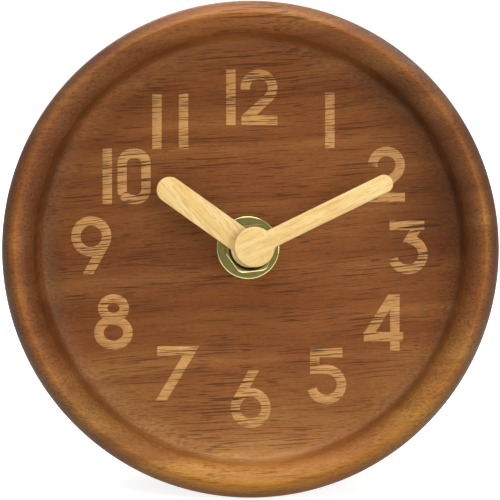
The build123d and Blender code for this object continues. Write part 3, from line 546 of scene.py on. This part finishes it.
handTurns = {"minute": 64.0, "hour": 305.5}  # degrees clockwise from 12 o'clock
grainTurns = {"minute": 0.0, "hour": 14.0}  # degrees that each hand's grain runs off its length
handFronts = {"minute": 8.5, "hour": 6.1}  # mm in front of the dial
handFinishes = {
    hand: handWood(f"{hand}HandWood", turn - 90.0 + grainTurns[hand], handFronts[hand])
    for hand, turn in handTurns.items()
}
inlayFinish = porousWood("numberWood", inlaidWood)
markFinish = mouldedPlastic("rubbedMarks", (0.115, 0.115, 0.118, 1), 0.50)
finishes = {  # by the slots of the record
    "case_wood": porousWood("caseWood", darkWood),
    "hand_wood": handFinishes["minute"],
    "brass": turnedMetal("polishedBrass", (0.80, 0.71, 0.31, 1), 0.15),
    "steel": turnedMetal("plainSteel", (0.56, 0.565, 0.57, 1), 0.34),
    "crystal_can": turnedMetal("crystalCan", (0.66, 0.66, 0.67, 1), 0.22),
    "magnet": turnedMetal("sinteredMagnet", (0.060, 0.060, 0.064, 1), 0.55),
    "housing_plastic": mouldedPlastic("housingPlastic", (0.014, 0.014, 0.0155, 1), 0.46),
    "knob_plastic": mouldedPlastic("knobPlastic", (0.020, 0.020, 0.0215, 1), 0.38, 1.5, 0.18),
    "wheel_plastic": mouldedPlastic("wheelPlastic", (0.760, 0.745, 0.690, 1), 0.40, 0.8, 0.10),
    "bobbin_plastic": mouldedPlastic("bobbinPlastic", (0.700, 0.660, 0.540, 1), 0.45),
    "gasket_rubber": mouldedPlastic("gasketRubber", (0.013, 0.013, 0.013, 1), 0.72, 0.5, 0.4),
    "resin": mouldedPlastic("chipResin", (0.010, 0.010, 0.011, 1), 0.22, 0.3, 0.05),
    "copper_wire": woundCopper("copperWire"),
    "board": lacqueredBoard("boardLacquer"),
    "battery_jacket": batteryFilm("batterySleeve"),
}
print("finishes made:", len(bpy.data.materials))

# Every CAD node gets the finish of its slot; nodes that a new piece stands for are hidden later.
for part in frame["record"]["subparts"]:
    surfaces = nodes[part["node"]].data.materials
    surfaces.clear()
    surfaces.append(finishes[part["material_slot"]])
print("CAD nodes painted:", len(nodes))

# The bowl. Its profile runs from the bore over dial, cove, wall and rim, down the flank and into the cavity.
caseShape = {
    "radius": 54.98,  # a hair inside the solid
    "backRadius": 52.5,
    "depth": 38.0,
    "setback": 9.5,
    "dialThickness": 6.0,
    "boreRadius": 4.3,
    "coveRound": 11.0,
    "coveSlope": 24.0,  # degrees at the cove's end
    "rootRound": 2.2,
    "wallSlope": 80.0,
    "shoulderRound": 0.5,
    "shoulderSlope": 54.5,  # degrees at the foot of the rim's face
    "faceRound": 9.1,
    "faceSlope": 25.0,  # degrees where the face meets the crest
    "crestRound": 1.2,
    "outerRound": 2.9,
    "outerPower": 1.35,  # 2 would be a quarter circle, 1 a straight chamfer
    "backRound": 3.0,
    "cavityRadius": 42.46,
    "cavityRound": 3.0,
    "mouthChamfer": 1.0,
    "columns": 640,
    "smoothAngle": 24.0,
}
profileSteps = {  # points along each stretch of the profile
    "dial": 14, "cove": 14, "root": 12, "shoulder": 6, "face": 20, "crest": 8,
    "outer": 22, "back": 14, "cavity": 10,
}


# Direction square to a slope of the profile, as a step in radius and forward. Slope zero faces forward.
def facing(slope):
    return np.array([-np.sin(np.radians(slope)), np.cos(np.radians(slope))])


# Profile of straight runs and arcs that meet without a corner: where two arcs meet, their centres and the
# meeting point lie on one line.
def caseProfile(shape, steps):
    cove, wall = shape["coveSlope"], shape["wallSlope"]
    shoulder, face = shape["shoulderSlope"], shape["faceSlope"]
    coveRound, rootRound, shoulderRound = shape["coveRound"], shape["rootRound"], shape["shoulderRound"]
    faceRound, crestRound, outerRound = shape["faceRound"], shape["crestRound"], shape["outerRound"]
    front, back = shape["setback"], shape["setback"] - shape["depth"]
    crestCentre = np.array([shape["radius"] - outerRound, front - crestRound])
    faceCentre = crestCentre + (crestRound - faceRound) * facing(face)
    shoulderCentre = faceCentre + (faceRound - shoulderRound) * facing(shoulder)
    wallTop = shoulderCentre + shoulderRound * facing(wall)

    # the cove starts as far out as lets the wall reach its top
    rootStep = (rootRound - coveRound) * facing(cove)
    footStep = rootStep - rootRound * facing(wall)
    wallHeight = wallTop[1] - coveRound - footStep[1]
    coveStart = wallTop[0] - wallHeight / np.tan(np.radians(wall)) - footStep[0]
    coveCentre = np.array([coveStart, coveRound])

    rimCentre = np.array([shape["radius"] - outerRound, front - outerRound])
    backCentre = np.array([shape["backRadius"] - shape["backRound"], back + shape["backRound"]])
    between = backCentre - rimCentre
    lag = np.arccos((outerRound - shape["backRound"]) / np.hypot(*between))
    flank = np.degrees(np.arctan2(between[1], between[0]) + lag)
    cavity, cavityRound = shape["cavityRadius"], shape["cavityRound"]
    dialBack = -shape["dialThickness"]
    dialRun = np.linspace(shape["boreRadius"], coveStart, steps["dial"])[:-1]
    stretches = [
        np.c_[dialRun, np.zeros_like(dialRun)],
        arcPoints(coveCentre, coveRound, -90, cove - 90, steps["cove"]),
        arcPoints(coveCentre + rootStep, rootRound, cove - 90, wall - 90, steps["root"])[1:],
        arcPoints(shoulderCentre, shoulderRound, wall + 90, shoulder + 90, steps["shoulder"]),
        arcPoints(faceCentre, faceRound, shoulder + 90, face + 90, steps["face"])[1:],
        arcPoints(crestCentre, crestRound, face + 90, 90, steps["crest"])[1:],
        chamferPoints(rimCentre, outerRound, shape["outerPower"], steps["outer"])[1:],
        arcPoints(backCentre, shape["backRound"], flank, -90, steps["back"]),
        [[cavity + shape["mouthChamfer"], back], [cavity, back + shape["mouthChamfer"]]],
        arcPoints((cavity - cavityRound, dialBack - cavityRound), cavityRound, 0, 90, steps["cavity"]),
        [[shape["boreRadius"], dialBack]],
    ]
    return np.concatenate(stretches)


# Cuts a piece off flat at desk height and closes the cut with one face, which is the foot.
def cutFoot(piece):
    shell = bmesh.new()
    shell.from_mesh(piece.data)
    everything = shell.verts[:] + shell.edges[:] + shell.faces[:]
    desk = {"plane_co": (0, 0, 0), "plane_no": (0, 0, -1)}
    cut = bmesh.ops.bisect_plane(shell, geom=everything, clear_outer=True, **desk)
    rim = [item for item in cut["geom_cut"] if isinstance(item, bmesh.types.BMEdge)]
    foot = bmesh.ops.contextual_create(shell, geom=rim)["faces"]
    bmesh.ops.recalc_face_normals(shell, faces=shell.faces)
    for face in foot:
        for line in face.edges:
            line.smooth = False
    shell.to_mesh(piece.data)
    shell.free()
    return len(foot)


profile = caseProfile(caseShape, profileSteps)
turned = ringLattice(profile, fullTurn(caseShape["columns"]))
home = ("clock_case", "case_wood", ["wooden_case"])
bowl = latticePiece("turnedCase", turned, True, *home, caseShape["smoothAngle"])
print("bowl turned from", len(profile), "profile points, foot faces:", cutFoot(bowl))

# Numbers of the dial. Each is a few strokes, drawn in mm from the lower left corner of its own box.
numberLook = {
    "stroke": 2.1, "proud": 0.04, "ease": 0.05, "sunk": 0.03, "layer": 0.004,
    "easeDrop": 0.6,  # how far the eased edge drops, as a share of its width
    "base": 0.0, "side": 1.0,  # mm in front of the dial, and which way the strokes stand up
}
barHeight = 12.4
strokeSteps = {"ring": 72, "corner": 16, "hook": 52, "bowl": 60, "arrow": 40}  # points along round strokes


# Middle line of a stroke as an open or closed run of points, and how its two ends are cut off.
def stroke(*runs, closed=False, flatEnds=(False, False)):
    path = np.concatenate([np.atleast_2d(run) for run in runs])
    return {"path": path, "closed": closed, "flatEnds": flatEnds}


# Ring: an arc of a full turn, closed on itself.
def ring(centre, radius):
    return stroke(arcPoints(centre, radius, 0, 360, strokeSteps["ring"] + 1)[:-1], closed=True)


# Rounded oblong: four quarter arcs round the corners of a smaller oblong.
def oblong(centre, halfWidth, halfHeight, corner):
    inside = np.array([halfWidth - corner, halfHeight - corner])
    signs = np.array([[1, 1], [-1, 1], [-1, -1], [1, -1]])
    quarters = [
        arcPoints(centre + sign * inside, corner, 90 * turn, 90 * turn + 90, strokeSteps["corner"])
        for turn, sign in enumerate(signs)
    ]
    return stroke(*quarters, closed=True)


bothFlat = (True, True)
sixStem = np.array([[1.47, 6.06], [5.18, 12.87]])
sixCentre, sixRadius = np.array([4.48, 4.48]), 3.43
nineTurn = np.array([8.96, 12.87])  # far corner of the nine's box: the nine is the six, measured back from it
digitStrokes = {
    "0": [oblong(np.array([3.72, 6.2]), 2.67, 5.15, 2.25)],
    "1": [stroke([[1.05, 0.0], [1.05, barHeight]])],
    "2": [
        stroke(
            arcPoints((4.12, 8.3), 3.05, 187, -48, strokeSteps["hook"]),
            [[1.77, 2.0]],
            flatEnds=bothFlat,
        ),
        stroke([[0.2, 1.05], [8.25, 1.05]]),
    ],
    "3": [
        stroke([[0.56, 10.88], [8.34, 10.88]]),
        stroke([[6.62, 10.2], [4.72, 7.14]], flatEnds=bothFlat),
        stroke(arcPoints((4.62, 4.39), (3.42, 3.34), 90, -163, strokeSteps["bowl"])),
    ],
    "4": [
        stroke([[6.95, 0.0], [6.95, 12.5]]),
        stroke([[0.0, 3.06], [8.76, 3.06]]),
        stroke([[6.72, 12.5], [1.2, 3.75]], flatEnds=bothFlat),
    ],
    "5": [
        stroke(
            [[8.06, 11.62], [1.86, 11.62], [1.86, 7.84]],
            arcPoints((4.45, 4.47), 3.37, 90, -163, strokeSteps["bowl"]),
        ),
    ],
    "6": [stroke(sixStem, flatEnds=(False, True)), ring(sixCentre, sixRadius)],
    "7": [
        stroke([[0.32, 11.03], [8.5, 11.03]]),
        stroke([[8.49, 12.08], [1.22, 0.0]], flatEnds=bothFlat),
    ],
    "8": [ring((4.28, 3.85), (3.25, 2.80)), ring((4.30, 9.30), (2.42, 2.08))],
    "9": [stroke(nineTurn - sixStem, flatEnds=(False, True)), ring(nineTurn - sixCentre, sixRadius)],
}
hourPlaces = {  # lower left corner of each digit's box, mm across and up from the dial's centre
    1: [("1", 16.70, 22.54)],
    2: [("2", 26.29, 10.49)],
    3: [("3", 30.52, -5.59)],
    4: [("4", 25.33, -22.63)],
    5: [("5", 12.52, -34.73)],
    6: [("6", -4.43, -39.96)],
    7: [("7", -21.15, -33.79)],
    8: [("8", -34.88, -22.52)],
    9: [("9", -40.05, -5.56)],
    10: [("1", -33.03, 10.06), ("0", -29.72, 10.02)],
    11: [("1", -21.94, 22.38), ("1", -16.00, 22.38)],
    12: [("1", -5.41, 27.73), ("2", -2.20, 27.75)],
}


# Sideways step at each point of a path: square to it, and longer at a corner, where it keeps the sides
# parallel. At a flat end it slides along the path until it is level.
def sideSteps(path, closed, flatEnds):
    ahead = np.roll(path, -1, axis=0) - path
    ahead /= np.linalg.norm(ahead, axis=1, keepdims=True)
    behind = np.roll(ahead, 1, axis=0)
    if not closed:
        ahead[-1], behind[0] = behind[-1], ahead[0]
    left = np.c_[-ahead[:, 1], ahead[:, 0]]
    leftBehind = np.c_[-behind[:, 1], behind[:, 0]]
    both = left + leftBehind
    steps = 2 * both / np.sum(both * both, axis=1, keepdims=True)
    for end, flat in zip((0, -1), flatEnds):
        if flat:
            steps[end] -= ahead[end] * steps[end, 1] / ahead[end, 1]
    return steps


# Ribbon: a low profile with eased edges, carried along the stroke's path.
def ribbonLattice(line, corner, half, look, lift):
    path, closed = line["path"], line["closed"]
    steps = sideSteps(path, closed, line["flatEnds"])
    inner = half - look["ease"]
    sides = np.array([-half, -half, -inner, inner, half, half])
    shoulder = look["proud"] - look["ease"] * look["easeDrop"]
    rise = np.array([-look["sunk"], shoulder, look["proud"]])
    heights = np.r_[rise, rise[::-1]]
    flat = path[:, None, :] + sides[None, :, None] * steps[:, None, :]
    across, up = corner[0] + flat[..., 0], corner[1] + flat[..., 1]
    heights = look["base"] + look["side"] * (heights + lift)
    return onDial(across, up, heights), latticeFaces(len(path), len(sides), closed)


# One piece from several figures, each a list of strokes and the place of its corner. Two faces close each
# open end of a stroke, and a stroke that crosses an earlier one lies a hair higher.
def layStrokes(name, figures, look, finish, slot):
    points, faces, count = [], [], 0
    for strokes, across, up in figures:
        for layer, line in enumerate(strokes):
            lift = layer * look["layer"]
            lattice, quads = ribbonLattice(line, (across, up), look["stroke"] / 2, look, lift)
            points.append(lattice.reshape(-1, 3))
            faces.append(quads + count)
            if not line["closed"]:
                caps = np.array([[0, 1, 2, 3], [0, 3, 4, 5]])
                last = lattice.shape[1] * (lattice.shape[0] - 1)
                faces.append(np.concatenate([caps, caps + last]) + count)
            count += lattice.shape[0] * lattice.shape[1]
    return makePiece(name, np.concatenate(points), np.concatenate(faces), "clock_case", slot, finish=finish)


for hour, digits in hourPlaces.items():
    figures = [(digitStrokes[digit], across, up) for digit, across, up in digits]
    layStrokes(f"hourNumber{hour:02d}", figures, numberLook, inlayFinish, "case_wood")
print("numbers laid:", len(hourPlaces))

# Plain raised marks on the housing's back, rubbed paler: the cell's two ends, and how the knob turns.
markLook = {
    "stroke": 0.8, "proud": 0.25, "ease": 0.08, "sunk": 0.05, "layer": 0.004,
    "easeDrop": 0.6, "base": -22.9, "side": -1.0,
    "arm": 1.7,  # half of a plus or minus sign
    "ends": (21.5, -7.4),  # across and up, mirrored for the other end
    "knob": (-6.364, 15.364), "arrowRadius": 8.9, "arrowSpan": (38.0, 142.0), "barb": (1.7, 1.2),
}


# Arrow head at one end of an arc: two barbs that run back along the arc and to both sides of it, from a tip
# half a barb past the arc's end.
def arrowHead(look, angle, ahead):
    outward = np.array([np.cos(np.radians(angle)), np.sin(np.radians(angle))])
    onward = ahead * np.array([-outward[1], outward[0]])
    back, aside = look["barb"]
    tip = look["arrowRadius"] * outward + 0.5 * back * onward
    return stroke([tip - back * onward + aside * outward, tip, tip - back * onward - aside * outward])


def markHousing(look):
    level = stroke([[-look["arm"], 0.0], [look["arm"], 0.0]])
    upright = stroke([[0.0, -look["arm"]], [0.0, look["arm"]]])
    start, end = look["arrowSpan"]
    sweep = stroke(arcPoints((0, 0), look["arrowRadius"], start, end, strokeSteps["arrow"]))
    arrow = [sweep, arrowHead(look, start, -1), arrowHead(look, end, 1)]
    across, up = look["ends"]
    figures = [([level, upright], across, up), ([level], -across, up), (arrow, *look["knob"])]
    return layStrokes("housingMarks", figures, look, markFinish, "housing_plastic")


markHousing(markLook)
print("housing marked")

# Hands: flat plates with a round boss, a straight bar and a round tip, and eased front edges.
handShapes = {
    "minute": {"length": 33.8, "width": 4.15, "boss": 4.5, "offset": 1.05, "aside": 0.0, "hole": 0.0},
    "hour": {"length": 24.9, "width": 5.85, "boss": 4.2, "offset": 0.2, "aside": -0.29, "hole": 3.12},
}
handPlate = {"thickness": 1.2, "ease": 0.25, "smoothAngle": 40.0}
handSteps = {"boss": 90, "bar": 40, "tip": 44, "ease": 6}


# Outline along +across: the boss's arc from one side of the bar round to the other, then one side of the
# bar, the tip's arc and the other side. Each point comes with the direction square to the outline.
def handOutline(shape, steps):
    half, aside = shape["width"] / 2, shape["aside"]
    tip = shape["length"] - half
    sides = np.array([aside + half, aside - half])
    meet = np.degrees(np.arcsin(sides / shape["boss"]))
    shares = np.linspace(0, 1, steps["bar"])[1:-1, None]
    joints = shape["boss"] * np.cos(np.radians(meet))
    barRun = joints + shares * (tip - joints)
    square = np.tile([0.0, 1.0], (len(barRun), 1))
    bossTurn, tipTurn = (meet[0], 360 + meet[1], steps["boss"]), (-90, 90, steps["tip"])
    outline = [
        arcPoints((0, 0), shape["boss"], *bossTurn),
        np.c_[barRun[:, 1], np.full(len(barRun), sides[1])],
        arcPoints((tip, aside), half, *tipTurn),
        np.c_[barRun[::-1, 0], np.full(len(barRun), sides[0])],
    ]
    normals = [arcPoints((0, 0), 1.0, *bossTurn), -square, arcPoints((0, 0), 1.0, *tipTurn), square]
    return np.concatenate(outline), np.concatenate(normals)


# Plate: rows of the outline, drawn in by the eased edge's quarter circle, between two rows of the hole, or
# of the middle point where there is none.
def cutHand(name, plate):
    shape, front = handShapes[name], handFronts[name]
    back = front - plate["thickness"]
    outline, normals = handOutline(shape, handSteps)
    drawn, off = easedEdge(plate["ease"], handSteps["ease"]).T
    flat = outline[None] - np.r_[0.0, drawn][:, None, None] * normals[None]
    inner = shape["hole"] * outline / np.linalg.norm(outline, axis=1, keepdims=True)
    bossMiddle = np.array([shape["offset"], 0.0])  # along the hand from the clock's axis
    flat = np.concatenate([inner[None], flat + bossMiddle, inner[None]])
    height = np.r_[back, back, front - off, front]
    turn = np.radians(90.0 - handTurns[name])
    across = flat[..., 0] * np.cos(turn) - flat[..., 1] * np.sin(turn)
    up = flat[..., 0] * np.sin(turn) + flat[..., 1] * np.cos(turn)
    points = onDial(across, up, height[:, None])
    home = (f"{name}_work", "hand_wood", [f"{name}_hand"], plate["smoothAngle"])
    return latticePiece(f"{name}HandPlate", points, shape["hole"] > 0, *home, finish=handFinishes[name])


for name in handShapes:
    cutHand(name, handPlate)
print("hands cut")

# Washer: a turned ring with rounded edges, leaning on one side of the bush.
washerShape = {
    "inner": 4.65, "outer": 7.0, "thickness": 0.5, "ease": 0.2, "shift": 0.6, "shiftBearing": 149.0,
    "innerSteps": 5, "outerSteps": 8, "columns": 192, "smoothAngle": 40.0,
}


def turnWasher(shape):
    ease, top = shape["ease"], shape["thickness"]
    outer, inner = shape["outer"] - ease, shape["inner"] + ease / 2
    washer = np.concatenate(
        [
            [[shape["inner"], 0.0]],
            arcPoints((inner, top - ease / 2), ease / 2, 180, 90, shape["innerSteps"]),
            arcPoints((outer, top - ease), ease, 90, 0, shape["outerSteps"]),
            [[shape["outer"], 0.0]],
        ]
    )
    bearing = np.radians(shape["shiftBearing"])
    place = shape["shift"] * np.array([np.cos(bearing), np.sin(bearing)])
    points = ringLattice(washer, fullTurn(shape["columns"]), place)
    home = ("clock_case", "brass", ["brass_washer"])
    return latticePiece("dialWasher", points, True, *home, shape["smoothAngle"])


turnWasher(washerShape)

# Nut: hexagon whose radius is the flat's distance over the cosine of the angle to the flat's middle, with
# its corners turned off to a circle, a narrow bevel round the front and a countersunk bore.
nutShape = {
    "flat": 5.3, "corner": 5.82, "bore": 4.05, "back": 0.5, "thickness": 2.6, "turn": 6.0,
    "bevel": 0.30, "bevelDrop": 0.22, "ease": 0.07, "sink": 0.7, "steps": 24, "smoothAngle": 16.0,
}


def formNut(shape):
    columns = 6 * shape["steps"]
    angles = np.radians(np.arange(columns) * 360 / columns + shape["turn"])
    offset = np.mod(angles - np.radians(shape["turn"]) + np.pi / 6, np.pi / 3) - np.pi / 6
    hexagon = np.minimum(shape["flat"] / np.cos(np.pi / 6 - np.abs(offset)), shape["corner"])
    bore, back, ease = shape["bore"], shape["back"], shape["ease"]
    front = back + shape["thickness"]
    sunk, bevelled, edge = bore + shape["sink"], hexagon - shape["bevel"], front - shape["bevelDrop"]
    rows = [  # from the bore over the face and down the flats
        (bore, back),
        (bore, front - shape["sink"]),
        (sunk - ease, front - ease),
        (sunk + ease, front),
        (bevelled - ease, front),
        (bevelled + ease, front - ease / 2),
        (hexagon - ease, edge + ease / 2),
        (hexagon, edge - ease),
        (hexagon, back),
    ]
    home = ("clock_case", "brass", ["hex_nut"])
    return latticePiece("dialNut", ringLattice(rows, angles), True, *home, shape["smoothAngle"])


formNut(nutShape)
print("washer and nut made")

# Setting knob: its radius dips at each flute by the part of a small circle that reaches into the rim. Its
# rows run from the shaft's seat over the inner face, fluted rim and rounded edge to the shallow recess.
knobShape = {
    "centre": (-6.364, 15.364), "radius": 6.5, "front": -23.2, "height": 3.7, "edge": 0.6, "flutes": 18,
    "fluteRadius": 0.75, "fluteDepth": 0.4, "seat": 1.42, "topThickness": 0.6, "columns": 18 * 24,
    "edgeSteps": 7, "recess": 4.4, "recessFloor": (4.2, 2.2, 0.0), "recessDepth": 0.18, "smoothAngle": 30.0,
}


def fluteKnob(shape):
    angles = fullTurn(shape["columns"])
    pitch = 2 * np.pi / shape["flutes"]
    nearest = np.mod(angles + pitch / 2, pitch) - pitch / 2
    reach = shape["radius"] + shape["fluteRadius"] - shape["fluteDepth"]
    inside = np.maximum(shape["fluteRadius"] ** 2 - (reach * np.sin(nearest)) ** 2, 0.0)
    fluted = np.where(inside > 0, reach * np.cos(nearest) - np.sqrt(inside), shape["radius"])
    rim = np.minimum(fluted, shape["radius"])
    front, seat = shape["front"], shape["seat"]
    back = front - shape["height"]
    seatEnd, recessEnd = back + shape["topThickness"], back + shape["recessDepth"]
    rows = [(0.0, seatEnd), (seat, seatEnd), (seat, front), (rim, front)]
    rows += [(rim - drawn, back + off) for drawn, off in easedEdge(shape["edge"], shape["edgeSteps"])]
    rows += [(shape["recess"], back)] + [(radius, recessEnd) for radius in shape["recessFloor"]]
    points = ringLattice(rows, angles, shape["centre"])
    home = ("setting_work", "knob_plastic", ["setting_knob"])
    return latticePiece("flutedKnob", points, False, *home, shape["smoothAngle"])


fluteKnob(knobShape)

# Battery: a turned can along the dial's across direction. Its profile (across, radius) runs from the dished
# base over a rolled seam at each end to the raised button.
batteryShape = {
    "up": -18.67, "forward": -15.4, "left": -25.25, "shoulder": 24.05, "right": 25.25, "radius": 7.1,
    "edge": 0.8, "edgeSteps": 8, "columns": 128, "smoothAngle": 30.0,
    "dish": [[0.25, 0.0], [0.25, 4.6], [0.0, 4.9]],  # inward from the base, and radius
    "seam": [[1.2, 0.0], [1.3, 0.08], [1.6, 0.08], [1.7, 0.0]],  # inward from each end, and depth
    "collar": [[0.0, 5.4], [0.3, 5.1], [0.3, 2.9], [0.1, 2.7]],  # inward from the shoulder, and radius
    "button": 2.7, "buttonRound": 0.35, "buttonSteps": 6,
}


def jacketBattery(shape):
    left, shoulder, right = shape["left"], shape["shoulder"], shape["right"]
    radius, edge, edgeSteps = shape["radius"], shape["edge"], shape["edgeSteps"]
    dish, seam, collar = (np.array(shape[key]) for key in ("dish", "seam", "collar"))
    buttonRound, buttonSteps = shape["buttonRound"], shape["buttonSteps"]
    buttonCentre = (right - buttonRound, shape["button"] - buttonRound)
    can = np.concatenate(
        [
            np.c_[left + dish[:, 0], dish[:, 1]],
            arcPoints((left + edge, radius - edge), edge, 180, 90, edgeSteps),
            np.c_[left + seam[:, 0], radius - seam[:, 1]],
            np.c_[shoulder - seam[::-1, 0], radius - seam[::-1, 1]],
            arcPoints((shoulder - edge, radius - edge), edge, 90, 0, edgeSteps),
            np.c_[shoulder - collar[:, 0], collar[:, 1]],
            arcPoints(buttonCentre, buttonRound, 90, 0, buttonSteps),
            [[right, 0.0]],
        ]
    )
    angles = fullTurn(shape["columns"])
    up = shape["up"] + can[:, 1:] * np.cos(angles)
    forward = shape["forward"] + can[:, 1:] * np.sin(angles)
    points = onDial(can[:, :1], up, forward)
    home = ("battery_cell", "battery_jacket", ["battery"])
    return latticePiece("roundCell", points, False, *home, shape["smoothAngle"])


jacketBattery(batteryShape)
print("knob and battery made")

# Floor, light and camera
stage = {
    "floorSize": 6.0,
    "floorColour": (0.62, 0.62, 0.62, 1),
    "nearLift": 0.86,  # what the camera and mirrors see on top of the lit floor, beside the clock
    "farLift": 0.98,
    "liftReach": (0.15, 0.60),  # metres from the clock between the two
    "skyLight": 0.08,
}


# One where the ray comes from the camera, a mirror or glass, and zero for light that falls on the object.
def seenDirectly(tree):
    camera, mirror, glass = (
        addNode(tree, "LightPath", out=f"Is {ray} Ray") for ray in ("Camera", "Glossy", "Transmission")
    )
    return combined(tree, "MAXIMUM", combined(tree, "MAXIMUM", camera, mirror), glass)


# Flat four-sided sheet of the set, with a material whose node tree is still empty.
def cutSheet(name, corners):
    mesh = bpy.data.meshes.new(name)
    mesh.from_pydata(corners, [], [(0, 1, 2, 3)])
    material = bpy.data.materials.new(f"{name}Paper")
    material.use_nodes = True
    material.node_tree.nodes.clear()
    mesh.materials.append(material)
    sheet = bpy.data.objects.new(name, mesh)
    bpy.context.scene.collection.objects.link(sheet)
    return sheet, material.node_tree


squareCorners = np.array([[-1, -1, 0], [1, -1, 0], [1, 1, 0], [-1, 1, 0]]) / 2


def layFloor(look):
    floor, tree = cutSheet("studioFloor", look["floorSize"] * squareCorners)
    matte = addNode(tree, "BsdfDiffuse", {"Color": look["floorColour"]})
    place = addNode(tree, "TexCoord", out="Object")
    reach = addNode(tree, "VectorMath", {0: place}, operation="LENGTH", out="Value")
    lift = ranged(tree, reach, *look["liftReach"], look["nearLift"], look["farLift"])
    strength = combined(tree, "MULTIPLY", seenDirectly(tree), lift)
    glow = addNode(tree, "Emission", {"Strength": strength})
    both = addNode(tree, "AddShader", {0: matte, 1: glow})
    addNode(tree, "OutputMaterial", {"Surface": both})


# Dark card behind the camera, as a photographer sets up for polished metal. Only mirrors and light see it.
darkCard = {"place": (0.0, 80.0, 980.0), "width": 1500.0, "height": 1000.0, "colour": (0.42, 0.43, 0.32, 1)}


def standCard(look):
    across, up, forward = look["place"]
    sides = squareCorners[::-1] * [look["width"], look["height"], 0.0]
    card, tree = cutSheet("darkCard", onDial(across + sides[:, 0], up + sides[:, 1], forward))
    matte = addNode(tree, "BsdfDiffuse", {"Color": look["colour"]})
    addNode(tree, "OutputMaterial", {"Surface": matte})
    card.visible_camera = False


def lightSky(look):
    world = bpy.data.worlds.new("studioSky")
    world.use_nodes = True
    bpy.context.scene.world = world
    tree = world.node_tree
    tree.nodes.clear()
    strength = ranged(tree, seenDirectly(tree), 0.0, 1.0, look["skyLight"], 1.0)
    sky = addNode(tree, "Background", {"Color": (1, 1, 1, 1), "Strength": strength})
    addNode(tree, "OutputWorld", {"Surface": sky})


lamps = {  # place on the dial in mm, size in mm, power in watts, and colour
    "overheadLamp": ((0, 600, 120), 500, 3.3, (1.0, 0.985, 0.96)),
    "upperLamp": ((0, 530, 280), 380, 1.05, (1.0, 0.985, 0.96)),
    "leftLamp": ((-350, 450, 300), 600, 1.4, (1.0, 0.99, 0.97)),
    "rightLamp": ((430, 120, 560), 400, 2.2, (1.0, 0.98, 0.95)),
    "backLamp": ((-120, 420, -520), 420, 2.2, (1.0, 1.0, 1.0)),
    "rimLamp": ((380, 520, -100), 400, 1.4, (1.0, 0.99, 0.97)),
}


def hangLamp(name, spot, size, power, colour):
    data = bpy.data.lights.new(name, "AREA")
    data.shape, data.size = "DISK", size * mm
    data.energy, data.color = power, colour
    lamp = bpy.data.objects.new(name, data)
    place = onDial(*spot)
    lamp.location = place
    away = (place - dialCentre) / np.linalg.norm(place - dialCentre)
    side = np.cross(upward, away)
    side /= np.linalg.norm(side)
    aim = Matrix(np.c_[side, np.cross(away, side), away].tolist())
    lamp.rotation_euler = aim.to_euler()
    bpy.context.scene.collection.objects.link(lamp)


photoView = {
    "distance": 650.0,  # mm from the dial along its axis
    "imagePixels": 500.0,
    "rimPixels": 248.6,  # radius of the rim in the picture
    "rimCentrePixels": (250.4, 249.1),
    "sensor": 36.0,
    "clip": (0.01, 20.0),  # metres
}


# Camera on the dial's axis: the lens makes the rim as large as in the photograph.
def setCamera(look):
    scale = caseShape["radius"] / look["rimPixels"]
    rimForward = caseShape["setback"] - caseShape["outerRound"]  # where the rim is widest
    focalPixels = (look["distance"] - rimForward) / scale
    middle = look["imagePixels"] / 2
    data = bpy.data.cameras.new("photoCamera")
    data.sensor_width = look["sensor"]
    data.lens = look["sensor"] * focalPixels / look["imagePixels"]
    data.clip_start, data.clip_end = look["clip"]
    camera = bpy.data.objects.new("photoCamera", data)
    across = (middle - look["rimCentrePixels"][0]) * scale
    up = (look["rimCentrePixels"][1] - middle) * scale
    camera.location = onDial(across, up, look["distance"])
    camera.rotation_euler = Matrix(np.c_[rightward, upward, towardViewer].tolist()).to_euler()
    bpy.context.scene.collection.objects.link(camera)
    bpy.context.scene.camera = camera


layFloor(stage)
standCard(darkCard)
lightSky(stage)
for name, settings in lamps.items():
    hangLamp(name, *settings)
setCamera(photoView)
bpy.context.scene.view_settings.view_transform = "Standard"
print("stage, lamps and camera set")
